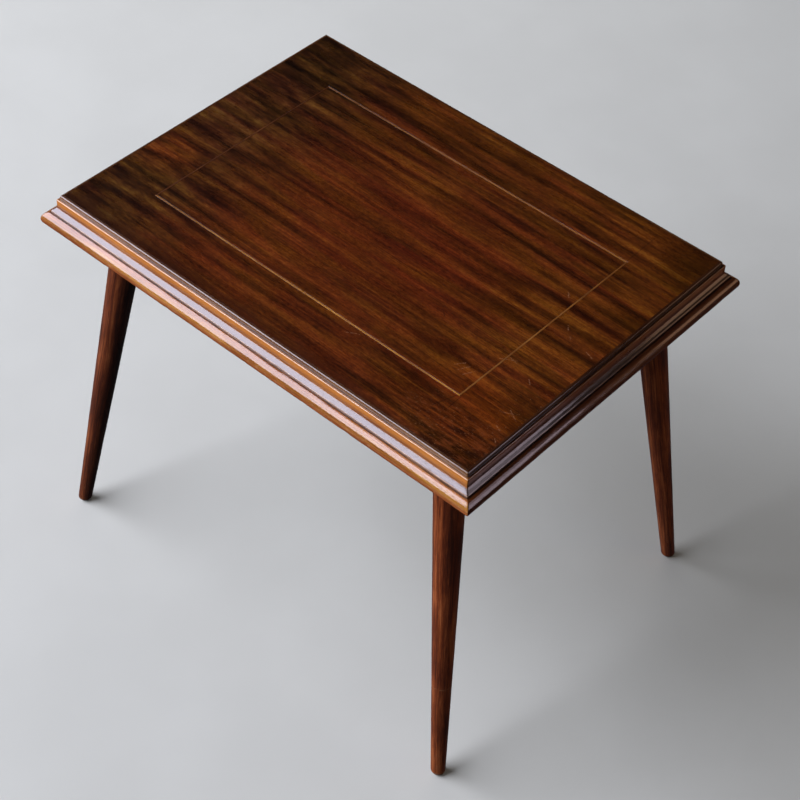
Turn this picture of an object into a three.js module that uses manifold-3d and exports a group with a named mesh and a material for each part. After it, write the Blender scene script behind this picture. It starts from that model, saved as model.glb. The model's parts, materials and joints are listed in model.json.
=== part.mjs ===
// Low side table with a veneered rectangular top, a light stringing line let into
// the veneer, a stepped and beaded edge moulding mitred at the corners, and four
// round, tapered, splayed legs that screw into pressed steel angle plates.
// Units are millimetres, +Z is up, and the origin is on the floor under the
// middle of the top. The long side of the top runs along X.

import * as THREE from 'three';
import { mergeVertices } from 'three/addons/utils/BufferGeometryUtils.js';
import Module from 'manifold-3d';

// ---------------------------------------------------------------- dimensions
const GAP = 0.3;               // clearance between pieces that touch

const HEIGHT = 495;            // floor to the veneer's top face
const FLAT_L = 580;            // flat of the top, along X
const FLAT_W = 418;            // flat of the top, along Y
const VENEER_T = 0.8;
const CORE_T = 18;             // blockboard
const BACKING_T = 0.6;
const JOINT_IN = 1.5;          // the moulding starts this far inside the flat's edge

const STRING_W = 2.0;          // light stringing line
const STRING_L = 436;          // centre line to centre line, along X
const STRING_Y = 274;          // centre line to centre line, along Y

const MOULD_H = 42;            // edge moulding, top to bottom
const MOULD_OUT = 18.8;        // how far the bead stands out from the flat's edge
const TONGUE_H = 6;
const TONGUE_L = 7;

const STRIP_W = 18;            // thickening strips under the board
const STRIP_END = HEIGHT - MOULD_H + 1;

const LEG_TOP = [232, 162, 466];   // centre of the leg's top face
const LEG_FOOT = [297, 220, 0];    // where the leg's axis meets the floor
const LEG_R_TOP = 19;
const LEG_R_FOOT = 8.4;
const LEG_BORE_R = 4.3;
const LEG_BORE_L = 41;

const PLATE_SIDE = 56;
const PLATE_T = 2.5;
const PAD_R = 20;
const PAD_T = 2.5;
const PLATE_SCREW_AT = 22.5;   // screw holes, from the plate's middle
const PLATE_HOLE_R = 2.3;

const STUD_R = 4;              // M8 hanger bolt
const STUD_IN_LEG = 39;
const STUD_OUT = 7.6;

const SCREW_L = 15;
const SCREW_R = 1.75;
const SCREW_HEAD_R = 3.8;
const PILOT_R = SCREW_R + GAP;

const GLIDE_R = 6.2;
const GLIDE_H = 3.0;
const GLIDE_PIN_R = 1.1;
const GLIDE_PIN_TOP = 16;

// levels
const Z_VENEER = HEIGHT - VENEER_T;
const Z_CORE_TOP = Z_VENEER - GAP;
const Z_CORE_BOT = Z_CORE_TOP - CORE_T;
const Z_BACK_TOP = Z_CORE_BOT - GAP;
const Z_BACK_BOT = Z_BACK_TOP - BACKING_T;
const Z_PLATE_TOP = Z_BACK_BOT - GAP;
const Z_PLATE_BOT = Z_PLATE_TOP - PLATE_T;
const Z_TONGUE = (Z_CORE_TOP + Z_CORE_BOT) / 2;
const HALF_X = FLAT_L / 2;
const HALF_Y = FLAT_W / 2;
const BOARD_X = HALF_X - JOINT_IN;
const BOARD_Y = HALF_Y - JOINT_IN;

// ---------------------------------------------------------------- materials
const mat = (color, roughness, metalness = 0) =>
  new THREE.MeshStandardMaterial({ color, roughness, metalness });
const MAT = {
  veneer: mat(0x5a2a12, 0.28),
  string: mat(0xb5793c, 0.35),
  core: mat(0xb08d5e, 0.8),
  backing: mat(0x7a5230, 0.7),
  moulding: mat(0x6a3114, 0.22),
  strip: mat(0xa9845a, 0.8),
  leg: mat(0x5c2514, 0.3),
  steel: mat(0x8a8a88, 0.45, 1),
  bolt: mat(0x9a9a96, 0.4, 1),
  screw: mat(0xa58a50, 0.4, 1),
  glide: mat(0xb4b2ae, 0.3, 1),
};

// ------------------------------------------------------------ solid geometry
const wasm = await Module();
wasm.setup();

// shared vertices merged, slivers with a repeated corner dropped, faces outward
function weld(geometry) {
  const g = geometry.clone();
  for (const name of Object.keys(g.attributes)) if (name !== 'position') g.deleteAttribute(name);
  g.morphAttributes = {};
  const m = mergeVertices(g, 1e-4);
  const src = m.index.array;
  const tris = [];
  for (let i = 0; i < src.length; i += 3) {
    const [a, b, c] = [src[i], src[i + 1], src[i + 2]];
    if (a !== b && b !== c && a !== c) tris.push(a, b, c);
  }
  const p = m.attributes.position;
  const A = new THREE.Vector3(), B = new THREE.Vector3(), C = new THREE.Vector3();
  let volume = 0;
  for (let i = 0; i < tris.length; i += 3) {
    A.fromBufferAttribute(p, tris[i]);
    B.fromBufferAttribute(p, tris[i + 1]);
    C.fromBufferAttribute(p, tris[i + 2]);
    volume += A.dot(B.cross(C));
  }
  if (volume < 0) for (let i = 0; i < tris.length; i += 3) [tris[i], tris[i + 1]] = [tris[i + 1], tris[i]];
  const out = new THREE.BufferGeometry();
  out.setAttribute('position', new THREE.BufferAttribute(new Float32Array(p.array), 3));
  out.setIndex(tris);
  return out;
}

function solid(geometry) {
  const w = weld(geometry);
  return new wasm.Manifold(new wasm.Mesh({
    numProp: 3,
    vertProperties: new Float32Array(w.attributes.position.array),
    triVerts: new Uint32Array(w.index.array),
  }));
}

function surface(manifold) {
  const m = manifold.getMesh();
  const n = m.numProp;
  const count = m.vertProperties.length / n;
  const pos = new Float32Array(count * 3);
  for (let i = 0; i < count; i++) for (let k = 0; k < 3; k++) pos[3 * i + k] = m.vertProperties[n * i + k];
  const g = new THREE.BufferGeometry();
  g.setAttribute('position', new THREE.BufferAttribute(pos, 3));
  g.setIndex(Array.from(m.triVerts));
  return weld(g);
}

// turned piece about +Z from [radius, height] points that start and end on the axis
function turned(points, segments = 24) {
  const g = new THREE.LatheGeometry(points.map(([r, z]) => new THREE.Vector2(r, z)), segments);
  g.rotateX(Math.PI / 2);
  return weld(g);
}

function block(x0, x1, y0, y1, z0, z1) {
  const g = new THREE.BoxGeometry(x1 - x0, y1 - y0, z1 - z0);
  g.translate((x0 + x1) / 2, (y0 + y1) / 2, (z0 + z1) / 2);
  return weld(g);
}

// a closed skin through rings of points that all have the same count
function loft(rings) {
  const n = rings[0].length;
  const pos = [];
  const idx = [];
  rings.forEach((r) => r.forEach((v) => pos.push(v.x, v.y, v.z)));
  for (let k = 0; k + 1 < rings.length; k++) {
    for (let i = 0; i < n; i++) {
      const j = (i + 1) % n;
      const a = k * n + i, b = k * n + j, c = (k + 1) * n + j, d = (k + 1) * n + i;
      idx.push(a, b, c, a, c, d);
    }
  }
  const last = (rings.length - 1) * n;
  for (let i = 1; i + 1 < n; i++) idx.push(0, i + 1, i, last, last + i, last + i + 1);
  const g = new THREE.BufferGeometry();
  g.setAttribute('position', new THREE.BufferAttribute(new Float32Array(pos), 3));
  g.setIndex(idx);
  return weld(g);
}

const table = new THREE.Group();
function add(parent, name, geometry, material) {
  const mesh = new THREE.Mesh(geometry, material);
  mesh.name = name;
  parent.add(mesh);
  return mesh;
}

// --------------------------------------------------------- edge moulding form
// [out, down] from the flat's edge: rounded arris, short fillet, step, upright
// face, shallow cove, small rounded nose, quirk and a bead, then the tongue on
// the inside
function mouldingSection() {
  const pts = [];
  const arc = (cx, cy, r, a0, a1, n) => {
    for (let i = 0; i <= n; i++) {
      const a = THREE.MathUtils.degToRad(a0 + ((a1 - a0) * i) / n);
      pts.push([cx + r * Math.cos(a), cy - r * Math.sin(a)]);
    }
  };
  pts.push([-JOINT_IN + GAP, 0]);
  arc(0, 1.8, 1.8, 90, 0, 4);                    // arris
  pts.push([1.95, 5.1]);                         // fillet
  arc(3.9, 6.1, 0.9, 90, 0, 3);                  // step
  pts.push([4.9, 14.7]);                         // upright face
  const hollow = (cx, cy, r, angles) => angles.forEach((deg) => {
    const a = THREE.MathUtils.degToRad(deg);
    pts.push([cx - r * Math.cos(a), cy + r * Math.sin(a)]);
  });
  hollow(7.9, 14.7, 3, [12, 24]);                // cove, tight at its top
  hollow(15.68, 9.25, 12.5, [35, 43, 51, 59.4]); // and shallow below
  arc(8.51, 21.4, 1.6, 45, -45, 4);              // nose
  const beadR = 9.65, beadX = MOULD_OUT - beadR, beadY = MOULD_H - beadR;
  arc(beadX, beadY, beadR, 86, -90, 15);         // bead, after the quirk
  pts.push([-JOINT_IN + GAP, MOULD_H]);
  const t0 = HEIGHT - Z_TONGUE - TONGUE_H / 2, t1 = t0 + TONGUE_H;
  pts.push([-JOINT_IN + GAP, t1], [-JOINT_IN - TONGUE_L, t1], [-JOINT_IN - TONGUE_L, t0], [-JOINT_IN + GAP, t0]);
  return pts;
}

// swept between two mitres: the length grows by one millimetre at each end for
// every millimetre that a point stands out
function moulding(halfLength) {
  const shape = new THREE.Shape(mouldingSection().map(([o, d]) => new THREE.Vector2(o, HEIGHT - d)));
  const g = new THREE.ExtrudeGeometry(shape, { depth: 1, steps: 1, bevelEnabled: false });
  const p = g.attributes.position;
  for (let i = 0; i < p.count; i++) {
    const out = p.getX(i), z = p.getY(i), end = p.getZ(i) > 0.5 ? 1 : -1;
    p.setXYZ(i, end * (halfLength + out - GAP * 0.75), -out, z);
  }
  return weld(g);
}

const edge = new THREE.Group();
table.add(edge);
[['front', 0, HALF_X, HALF_Y], ['right', 90, HALF_Y, HALF_X], ['back', 180, HALF_X, HALF_Y], ['left', 270, HALF_Y, HALF_X]]
  .forEach(([name, turn, half, away]) => {
    const side = new THREE.Group();
    side.rotation.z = THREE.MathUtils.degToRad(turn);
    edge.add(side);
    const m = add(side, `edge_moulding_${name}`, moulding(half), MAT.moulding);
    m.position.y = -away;
  });

// ------------------------------------------------------------------- top board
const corners = [
  ['front_left', -1, -1],
  ['front_right', 1, -1],
  ['back_right', 1, 1],
  ['back_left', -1, 1],
];
const splayAngle = Math.atan2(LEG_FOOT[1] - LEG_TOP[1], LEG_FOOT[0] - LEG_TOP[0]);
const plateCentre = (() => {      // where the leg's axis passes the plate's flange
  const t = (Z_PLATE_BOT - LEG_TOP[2]) / (LEG_FOOT[2] - LEG_TOP[2]);
  return [LEG_TOP[0] + t * (LEG_FOOT[0] - LEG_TOP[0]), LEG_TOP[1] + t * (LEG_FOOT[1] - LEG_TOP[1])];
})();
const screwSpots = [];
corners.forEach(([name, sx, sy]) => {
  [[-1, -1], [1, -1], [1, 1], [-1, 1]].forEach(([a, b], i) => {
    screwSpots.push([
      `leg_plate_screw_${name}_${i + 1}`,
      sx * plateCentre[0] + a * PLATE_SCREW_AT,
      sy * plateCentre[1] + b * PLATE_SCREW_AT,
    ]);
  });
});

const pilot = (x, y, z0, z1) => {
  const g = new THREE.CylinderGeometry(PILOT_R, PILOT_R, z1 - z0, 10);
  g.rotateX(Math.PI / 2);
  g.translate(x, y, (z0 + z1) / 2);
  return solid(g);
};

{
  let core = solid(block(-BOARD_X, BOARD_X, -BOARD_Y, BOARD_Y, Z_CORE_BOT, Z_CORE_TOP));
  const depth = TONGUE_L + GAP;
  const z0 = Z_TONGUE - TONGUE_H / 2 - GAP, z1 = Z_TONGUE + TONGUE_H / 2 + GAP;
  const ring = solid(block(-BOARD_X - 5, BOARD_X + 5, -BOARD_Y - 5, BOARD_Y + 5, z0, z1))
    .subtract(solid(block(-BOARD_X + depth, BOARD_X - depth, -BOARD_Y + depth, BOARD_Y - depth, z0 - 1, z1 + 1)));
  core = core.subtract(ring);
  const top = Z_PLATE_BOT - GAP + SCREW_L + 0.6;
  screwSpots.forEach(([, x, y]) => { core = core.subtract(pilot(x, y, Z_CORE_BOT - 2, top)); });
  add(table, 'core_board', surface(core), MAT.core);

  let backing = solid(block(-BOARD_X, BOARD_X, -BOARD_Y, BOARD_Y, Z_BACK_BOT, Z_BACK_TOP));
  screwSpots.forEach(([, x, y]) => { backing = backing.subtract(pilot(x, y, Z_BACK_BOT - 2, Z_BACK_TOP + 2)); });
  add(table, 'backing_veneer', surface(backing), MAT.backing);
}

// ------------------------------------------------- face veneer and stringing
{
  const inX = STRING_L / 2 - STRING_W / 2 - GAP, inY = STRING_Y / 2 - STRING_W / 2 - GAP;
  const outX = STRING_L / 2 + STRING_W / 2 + GAP, outY = STRING_Y / 2 + STRING_W / 2 + GAP;
  add(table, 'face_veneer_field', block(-inX, inX, -inY, inY, Z_VENEER, HEIGHT), MAT.veneer);
  const border = new THREE.Shape([[-BOARD_X, -BOARD_Y], [BOARD_X, -BOARD_Y], [BOARD_X, BOARD_Y], [-BOARD_X, BOARD_Y]]
    .map(([x, y]) => new THREE.Vector2(x, y)));
  border.holes.push(new THREE.Path([[-outX, -outY], [-outX, outY], [outX, outY], [outX, -outY]]
    .map(([x, y]) => new THREE.Vector2(x, y))));
  const g = new THREE.ExtrudeGeometry(border, { depth: VENEER_T, steps: 1, bevelEnabled: false });
  g.translate(0, 0, Z_VENEER);
  add(table, 'face_veneer_border', weld(g), MAT.veneer);

  // four strips, mitred where they meet
  const strip = (half) => {
    const w = STRING_W / 2, c = GAP * 0.75;
    const s = new THREE.Shape([
      new THREE.Vector2(-half + w + c, w), new THREE.Vector2(-half - w + c, -w),
      new THREE.Vector2(half + w - c, -w), new THREE.Vector2(half - w - c, w),
    ]);
    const e = new THREE.ExtrudeGeometry(s, { depth: VENEER_T, steps: 1, bevelEnabled: false });
    e.translate(0, 0, Z_VENEER);
    return weld(e);
  };
  [['front', 0, STRING_L / 2, STRING_Y / 2], ['right', 90, STRING_Y / 2, STRING_L / 2],
    ['back', 180, STRING_L / 2, STRING_Y / 2], ['left', 270, STRING_Y / 2, STRING_L / 2]]
    .forEach(([name, turn, half, away]) => {
      const side = new THREE.Group();
      side.rotation.z = THREE.MathUtils.degToRad(turn);
      table.add(side);
      const m = add(side, `stringing_${name}`, strip(half), MAT.string);
      m.position.y = -away;
    });
}

// ------------------------------------------- thickening strips under the board
{
  const z1 = Z_PLATE_TOP, z0 = STRIP_END;
  const shortHalf = BOARD_Y - STRIP_W - GAP;
  add(table, 'thickening_strip_front', block(-BOARD_X, BOARD_X, -BOARD_Y, -BOARD_Y + STRIP_W, z0, z1), MAT.strip);
  add(table, 'thickening_strip_back', block(-BOARD_X, BOARD_X, BOARD_Y - STRIP_W, BOARD_Y, z0, z1), MAT.strip);
  add(table, 'thickening_strip_left', block(-BOARD_X, -BOARD_X + STRIP_W, -shortHalf, shortHalf, z0, z1), MAT.strip);
  add(table, 'thickening_strip_right', block(BOARD_X - STRIP_W, BOARD_X, -shortHalf, shortHalf, z0, z1), MAT.strip);
}

// ------------------------------------------------------- legs and their metal
const legLength = Math.hypot(...LEG_FOOT.map((v, i) => v - LEG_TOP[i]));
const ring = (centre, r, u, v, n = 24) => Array.from({ length: n }, (_, i) => {
  const a = (i / n) * Math.PI * 2;
  return centre.clone().addScaledVector(u, r * Math.cos(a)).addScaledVector(v, r * Math.sin(a));
});

corners.forEach(([name, sx, sy]) => {
  const top = new THREE.Vector3(sx * LEG_TOP[0], sy * LEG_TOP[1], LEG_TOP[2]);
  const foot = new THREE.Vector3(sx * LEG_FOOT[0], sy * LEG_FOOT[1], LEG_FOOT[2]);
  const up = top.clone().sub(foot).normalize();

  // the leg's own frame: origin at the centre of its top face, +Z up its axis
  const leg = new THREE.Group();
  leg.position.copy(top);
  leg.quaternion.setFromUnitVectors(new THREE.Vector3(0, 0, 1), up);
  leg.updateMatrixWorld(true);
  const toLeg = leg.matrixWorld.clone().invert();
  table.add(leg);

  // turned taper, run past the floor and then cut level with a small chamfer
  const slope = (LEG_R_TOP - LEG_R_FOOT) / legLength;
  const past = legLength + 12;
  let body = solid(turned([
    [0, -past], [LEG_R_TOP - slope * past, -past],
    [LEG_R_TOP - slope * 2 - 0.1, -1.2], [LEG_R_TOP - 1.2, 0], [0, 0],
  ], 24));
  const cutAt = GLIDE_H + GAP;
  const k = cutAt / LEG_TOP[2];
  const footAt = foot.clone().lerp(top, k);
  const envelope = turned([[0, cutAt], [6.9, cutAt], [8.3, cutAt + 1.0], [9.3, cutAt + 3.2], [400, cutAt + 560], [0, cutAt + 560]], 24);
  envelope.translate(footAt.x, footAt.y, 0);
  envelope.applyMatrix4(toLeg);
  body = body.intersect(solid(envelope));
  const bore = new THREE.CylinderGeometry(LEG_BORE_R, LEG_BORE_R, LEG_BORE_L + 5, 16);
  bore.rotateX(Math.PI / 2);
  bore.translate(0, 0, -LEG_BORE_L / 2 + 2.5);
  body = body.subtract(solid(bore));
  const pinHole = new THREE.CylinderGeometry(GLIDE_PIN_R + GAP, GLIDE_PIN_R + GAP, GLIDE_PIN_TOP + 0.6, 12);
  pinHole.rotateX(Math.PI / 2);
  pinHole.translate(footAt.x, footAt.y, (GLIDE_PIN_TOP + 0.6) / 2);
  pinHole.applyMatrix4(toLeg);
  body = body.subtract(solid(pinHole));
  add(leg, `leg_${name}`, surface(body), MAT.leg);

  // hanger bolt on the leg's axis: pointed wood thread below, machine thread above
  add(leg, `hanger_bolt_${name}`, turned([
    [0, -STUD_IN_LEG], [1.2, -STUD_IN_LEG + 0.8], [STUD_R, -STUD_IN_LEG + 7],
    [STUD_R, -3], [STUD_R - 0.5, -2.5], [STUD_R - 0.5, -1], [STUD_R, -0.5],
    [STUD_R, STUD_OUT - 0.8], [STUD_R - 0.8, STUD_OUT], [0, STUD_OUT],
  ], 16), MAT.bolt);

  // pressed plate: square flange against the board and a dished pad square to the leg
  const u = new THREE.Vector3(1, 0, 0).addScaledVector(up, -up.x).normalize();
  const v = new THREE.Vector3().crossVectors(up, u);
  const ex = new THREE.Vector3(1, 0, 0), ey = new THREE.Vector3(0, 1, 0);
  const flangeMid = new THREE.Vector3(sx * plateCentre[0], sy * plateCentre[1], 0);
  const at = (z) => flangeMid.clone().setZ(z);
  const s = PLATE_SIDE / 2, c = 5;
  const outline = new THREE.Shape();
  outline.moveTo(-s + c, -s);
  outline.lineTo(s - c, -s); outline.absarc(s - c, -s + c, c, -Math.PI / 2, 0, false);
  outline.lineTo(s, s - c); outline.absarc(s - c, s - c, c, 0, Math.PI / 2, false);
  outline.lineTo(-s + c, s); outline.absarc(-s + c, s - c, c, Math.PI / 2, Math.PI, false);
  outline.lineTo(-s, -s + c); outline.absarc(-s + c, -s + c, c, Math.PI, Math.PI * 1.5, false);
  const flange = new THREE.ExtrudeGeometry(outline, { depth: PLATE_T, steps: 1, bevelEnabled: false, curveSegments: 4 });
  flange.translate(flangeMid.x, flangeMid.y, Z_PLATE_BOT);
  const padLow = top.clone().addScaledVector(up, GAP);
  const padHigh = top.clone().addScaledVector(up, GAP + PAD_T);
  let plate = solid(flange).add(solid(loft([
    ring(padLow, PAD_R - 1.2, u, v), ring(padLow.clone().addScaledVector(up, 1.0), PAD_R, u, v),
    ring(at(Z_PLATE_TOP), PAD_R + 3.2, ex, ey),
  ])));
  plate = plate.subtract(solid(loft([
    ring(padHigh, PAD_R - 2.6, u, v), ring(at(Z_PLATE_TOP + 4), PAD_R + 1.6, ex, ey),
  ])));
  const boltHole = new THREE.CylinderGeometry(STUD_R + GAP, STUD_R + GAP, 30, 16);
  boltHole.rotateX(Math.PI / 2);
  boltHole.applyQuaternion(leg.quaternion);
  boltHole.translate(top.x, top.y, top.z);
  plate = plate.subtract(solid(boltHole));
  screwSpots.filter(([n]) => n.startsWith(`leg_plate_screw_${name}`)).forEach(([, x, y]) => {
    const h = new THREE.CylinderGeometry(PLATE_HOLE_R, PLATE_HOLE_R, 20, 10);
    h.rotateX(Math.PI / 2);
    h.translate(x, y, Z_PLATE_BOT);
    plate = plate.subtract(solid(h));
  });
  add(table, `leg_plate_${name}`, surface(plate), MAT.steel);

  // nail-on glide, level with the floor
  const glide = add(table, `foot_glide_${name}`, turned([
    [0, 0], [4.6, 0], [5.7, 0.6], [GLIDE_R, 1.6], [GLIDE_R, GLIDE_H - 0.4], [GLIDE_R - 0.4, GLIDE_H],
    [GLIDE_PIN_R, GLIDE_H], [GLIDE_PIN_R, GLIDE_PIN_TOP - 2.5], [0, GLIDE_PIN_TOP],
  ], 16), MAT.glide);
  glide.position.set(footAt.x, footAt.y, 0);
});

// --------------------------------------------------- round-head slotted screws
{
  const seat = Z_PLATE_BOT - GAP;
  const blank = solid(turned([
    [0, -2.6], [1.6, -2.4], [2.9, -1.7], [SCREW_HEAD_R, -0.5], [SCREW_HEAD_R, 0], [SCREW_R, 0],
    [SCREW_R, SCREW_L - 3.5], [0, SCREW_L],
  ], 10));
  const slot = new THREE.BoxGeometry(SCREW_HEAD_R * 2.4, 1.0, 2.4);
  slot.translate(0, 0, -2.6);
  const screw = surface(blank.subtract(solid(slot)));
  screwSpots.forEach(([name, x, y], i) => {
    const m = add(table, name, screw, MAT.screw);
    m.position.set(x, y, seat);
    m.rotation.z = (i * 2.39996) % Math.PI;
  });
}

export default table;
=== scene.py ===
# Low side table: the finish of every visible surface, built round the fixed frame.
# Metres, +Z up, origin on the floor under the middle of the top. Lengths below are
# in millimetres unless they say otherwise.

import json
import math

import bmesh
import bpy
import numpy as np
from mathutils import Matrix, Quaternion, Vector

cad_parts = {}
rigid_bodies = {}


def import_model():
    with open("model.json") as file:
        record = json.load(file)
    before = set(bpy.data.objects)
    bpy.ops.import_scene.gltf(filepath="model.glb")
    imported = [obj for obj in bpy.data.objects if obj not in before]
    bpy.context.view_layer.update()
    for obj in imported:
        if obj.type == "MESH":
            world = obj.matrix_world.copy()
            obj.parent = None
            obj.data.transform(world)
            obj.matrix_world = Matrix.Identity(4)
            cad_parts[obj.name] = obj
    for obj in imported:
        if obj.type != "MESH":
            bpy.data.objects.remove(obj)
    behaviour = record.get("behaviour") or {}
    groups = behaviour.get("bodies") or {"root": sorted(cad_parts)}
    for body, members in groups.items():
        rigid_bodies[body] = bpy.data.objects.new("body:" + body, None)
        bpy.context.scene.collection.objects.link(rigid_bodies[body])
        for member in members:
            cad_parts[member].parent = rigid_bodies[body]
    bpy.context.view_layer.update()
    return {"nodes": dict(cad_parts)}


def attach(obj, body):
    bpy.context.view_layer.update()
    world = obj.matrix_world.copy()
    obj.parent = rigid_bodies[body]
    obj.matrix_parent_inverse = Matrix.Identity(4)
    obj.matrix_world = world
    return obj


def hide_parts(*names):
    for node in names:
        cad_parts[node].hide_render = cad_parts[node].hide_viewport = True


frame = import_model()
nodes = frame["nodes"]
scene = bpy.context.scene
MM = 0.001

# ------------------------------------------------------------------ dimensions
HEIGHT = 495.0
HALF_X, HALF_Y = 290.0, 209.0
VENEER_T = 0.8
JOINT_IN = 1.5
STRING_W = 2.0
STRING_X, STRING_Y = 218.0, 137.0
MOULD_H = 42.0
BEAD_OUT = 18.76
TONGUE_H, TONGUE_L, Z_TONGUE = 6.0, 7.0, 484.9
LEG_TOP = np.array([232.0, 162.0, 466.0])
LEG_FOOT = np.array([297.0, 220.0, 0.0])
LEG_R_TOP, LEG_R_FOOT = 19.0, 8.4
BORE_R, BORE_L = 4.3, 41.0
CUT_AT = 3.3
Z_PLATE_TOP, Z_PLATE_BOT = 474.7, 472.2
CORNERS = {"front_left": (-1, -1), "front_right": (1, -1), "back_right": (1, 1), "back_left": (-1, 1)}
LEG_LEN = float(np.linalg.norm(LEG_FOOT - LEG_TOP))
PLATE_AT = LEG_TOP + (Z_PLATE_BOT - 466.0) / (0 - 466.0) * (LEG_FOOT - LEG_TOP)


# ------------------------------------------------------------ mesh in code
def build(name, verts, faces, angle=32, grain=None):
    """Closed, smooth-shaded mesh from points in millimetres. grain is a point for each vertex, with its x along the wood's grain."""
    me = bpy.data.meshes.new(name)
    me.from_pydata([tuple(v) for v in np.asarray(verts, float) * MM], [], [tuple(f) for f in faces])
    if grain is not None:
        at = me.attributes.new("grain", "FLOAT_VECTOR", "POINT")
        at.data.foreach_set("vector", (np.asarray(grain, float) * MM).astype(np.float32).ravel())
    tidy(me, angle)
    ob = bpy.data.objects.new(name, me)
    scene.collection.objects.link(ob)
    return ob


def tidy(me, angle):
    bm = bmesh.new()
    bm.from_mesh(me)
    bmesh.ops.remove_doubles(bm, verts=bm.verts, dist=1e-7)
    bmesh.ops.recalc_face_normals(bm, faces=bm.faces)
    bm.to_mesh(me)
    bm.free()
    me.shade_smooth()
    me.set_sharp_from_angle(angle=math.radians(angle))


def skin(count, n, cap=True, loop=False):
    """Faces through `count` rings of n points each: capped at both ends, or joined round."""
    faces = []
    last = count if loop else count - 1
    for k in range(last):
        a, b = k * n, ((k + 1) % count) * n
        for i in range(n):
            j = (i + 1) % n
            faces.append((a + i, a + j, b + j, b + i))
    if cap and not loop:
        faces.append(tuple(range(n)))
        faces.append(tuple(range((count - 1) * n, count * n)))
    return faces


def arc(cx, cy, r, a0, a1, n):
    return [(cx + r * math.cos(math.radians(a)), cy - r * math.sin(math.radians(a))) for a in np.linspace(a0, a1, n + 1)]


def line(p, q, n):
    return [(p[0] + (q[0] - p[0]) * i / n, p[1] + (q[1] - p[1]) * i / n) for i in range(1, n + 1)]


def sway(x, seed, waves, count=5):
    """Smooth, repeatable unevenness along x, about -1 to 1."""
    rng = np.random.default_rng(seed)
    total = np.zeros_like(np.asarray(x, float))
    for _ in range(count):
        length = rng.uniform(*waves)
        total += rng.uniform(0.5, 1.0) * np.sin(2 * np.pi * x / length + rng.uniform(0, 2 * np.pi))
    return total / (0.75 * math.sqrt(count) * 1.4)


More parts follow.
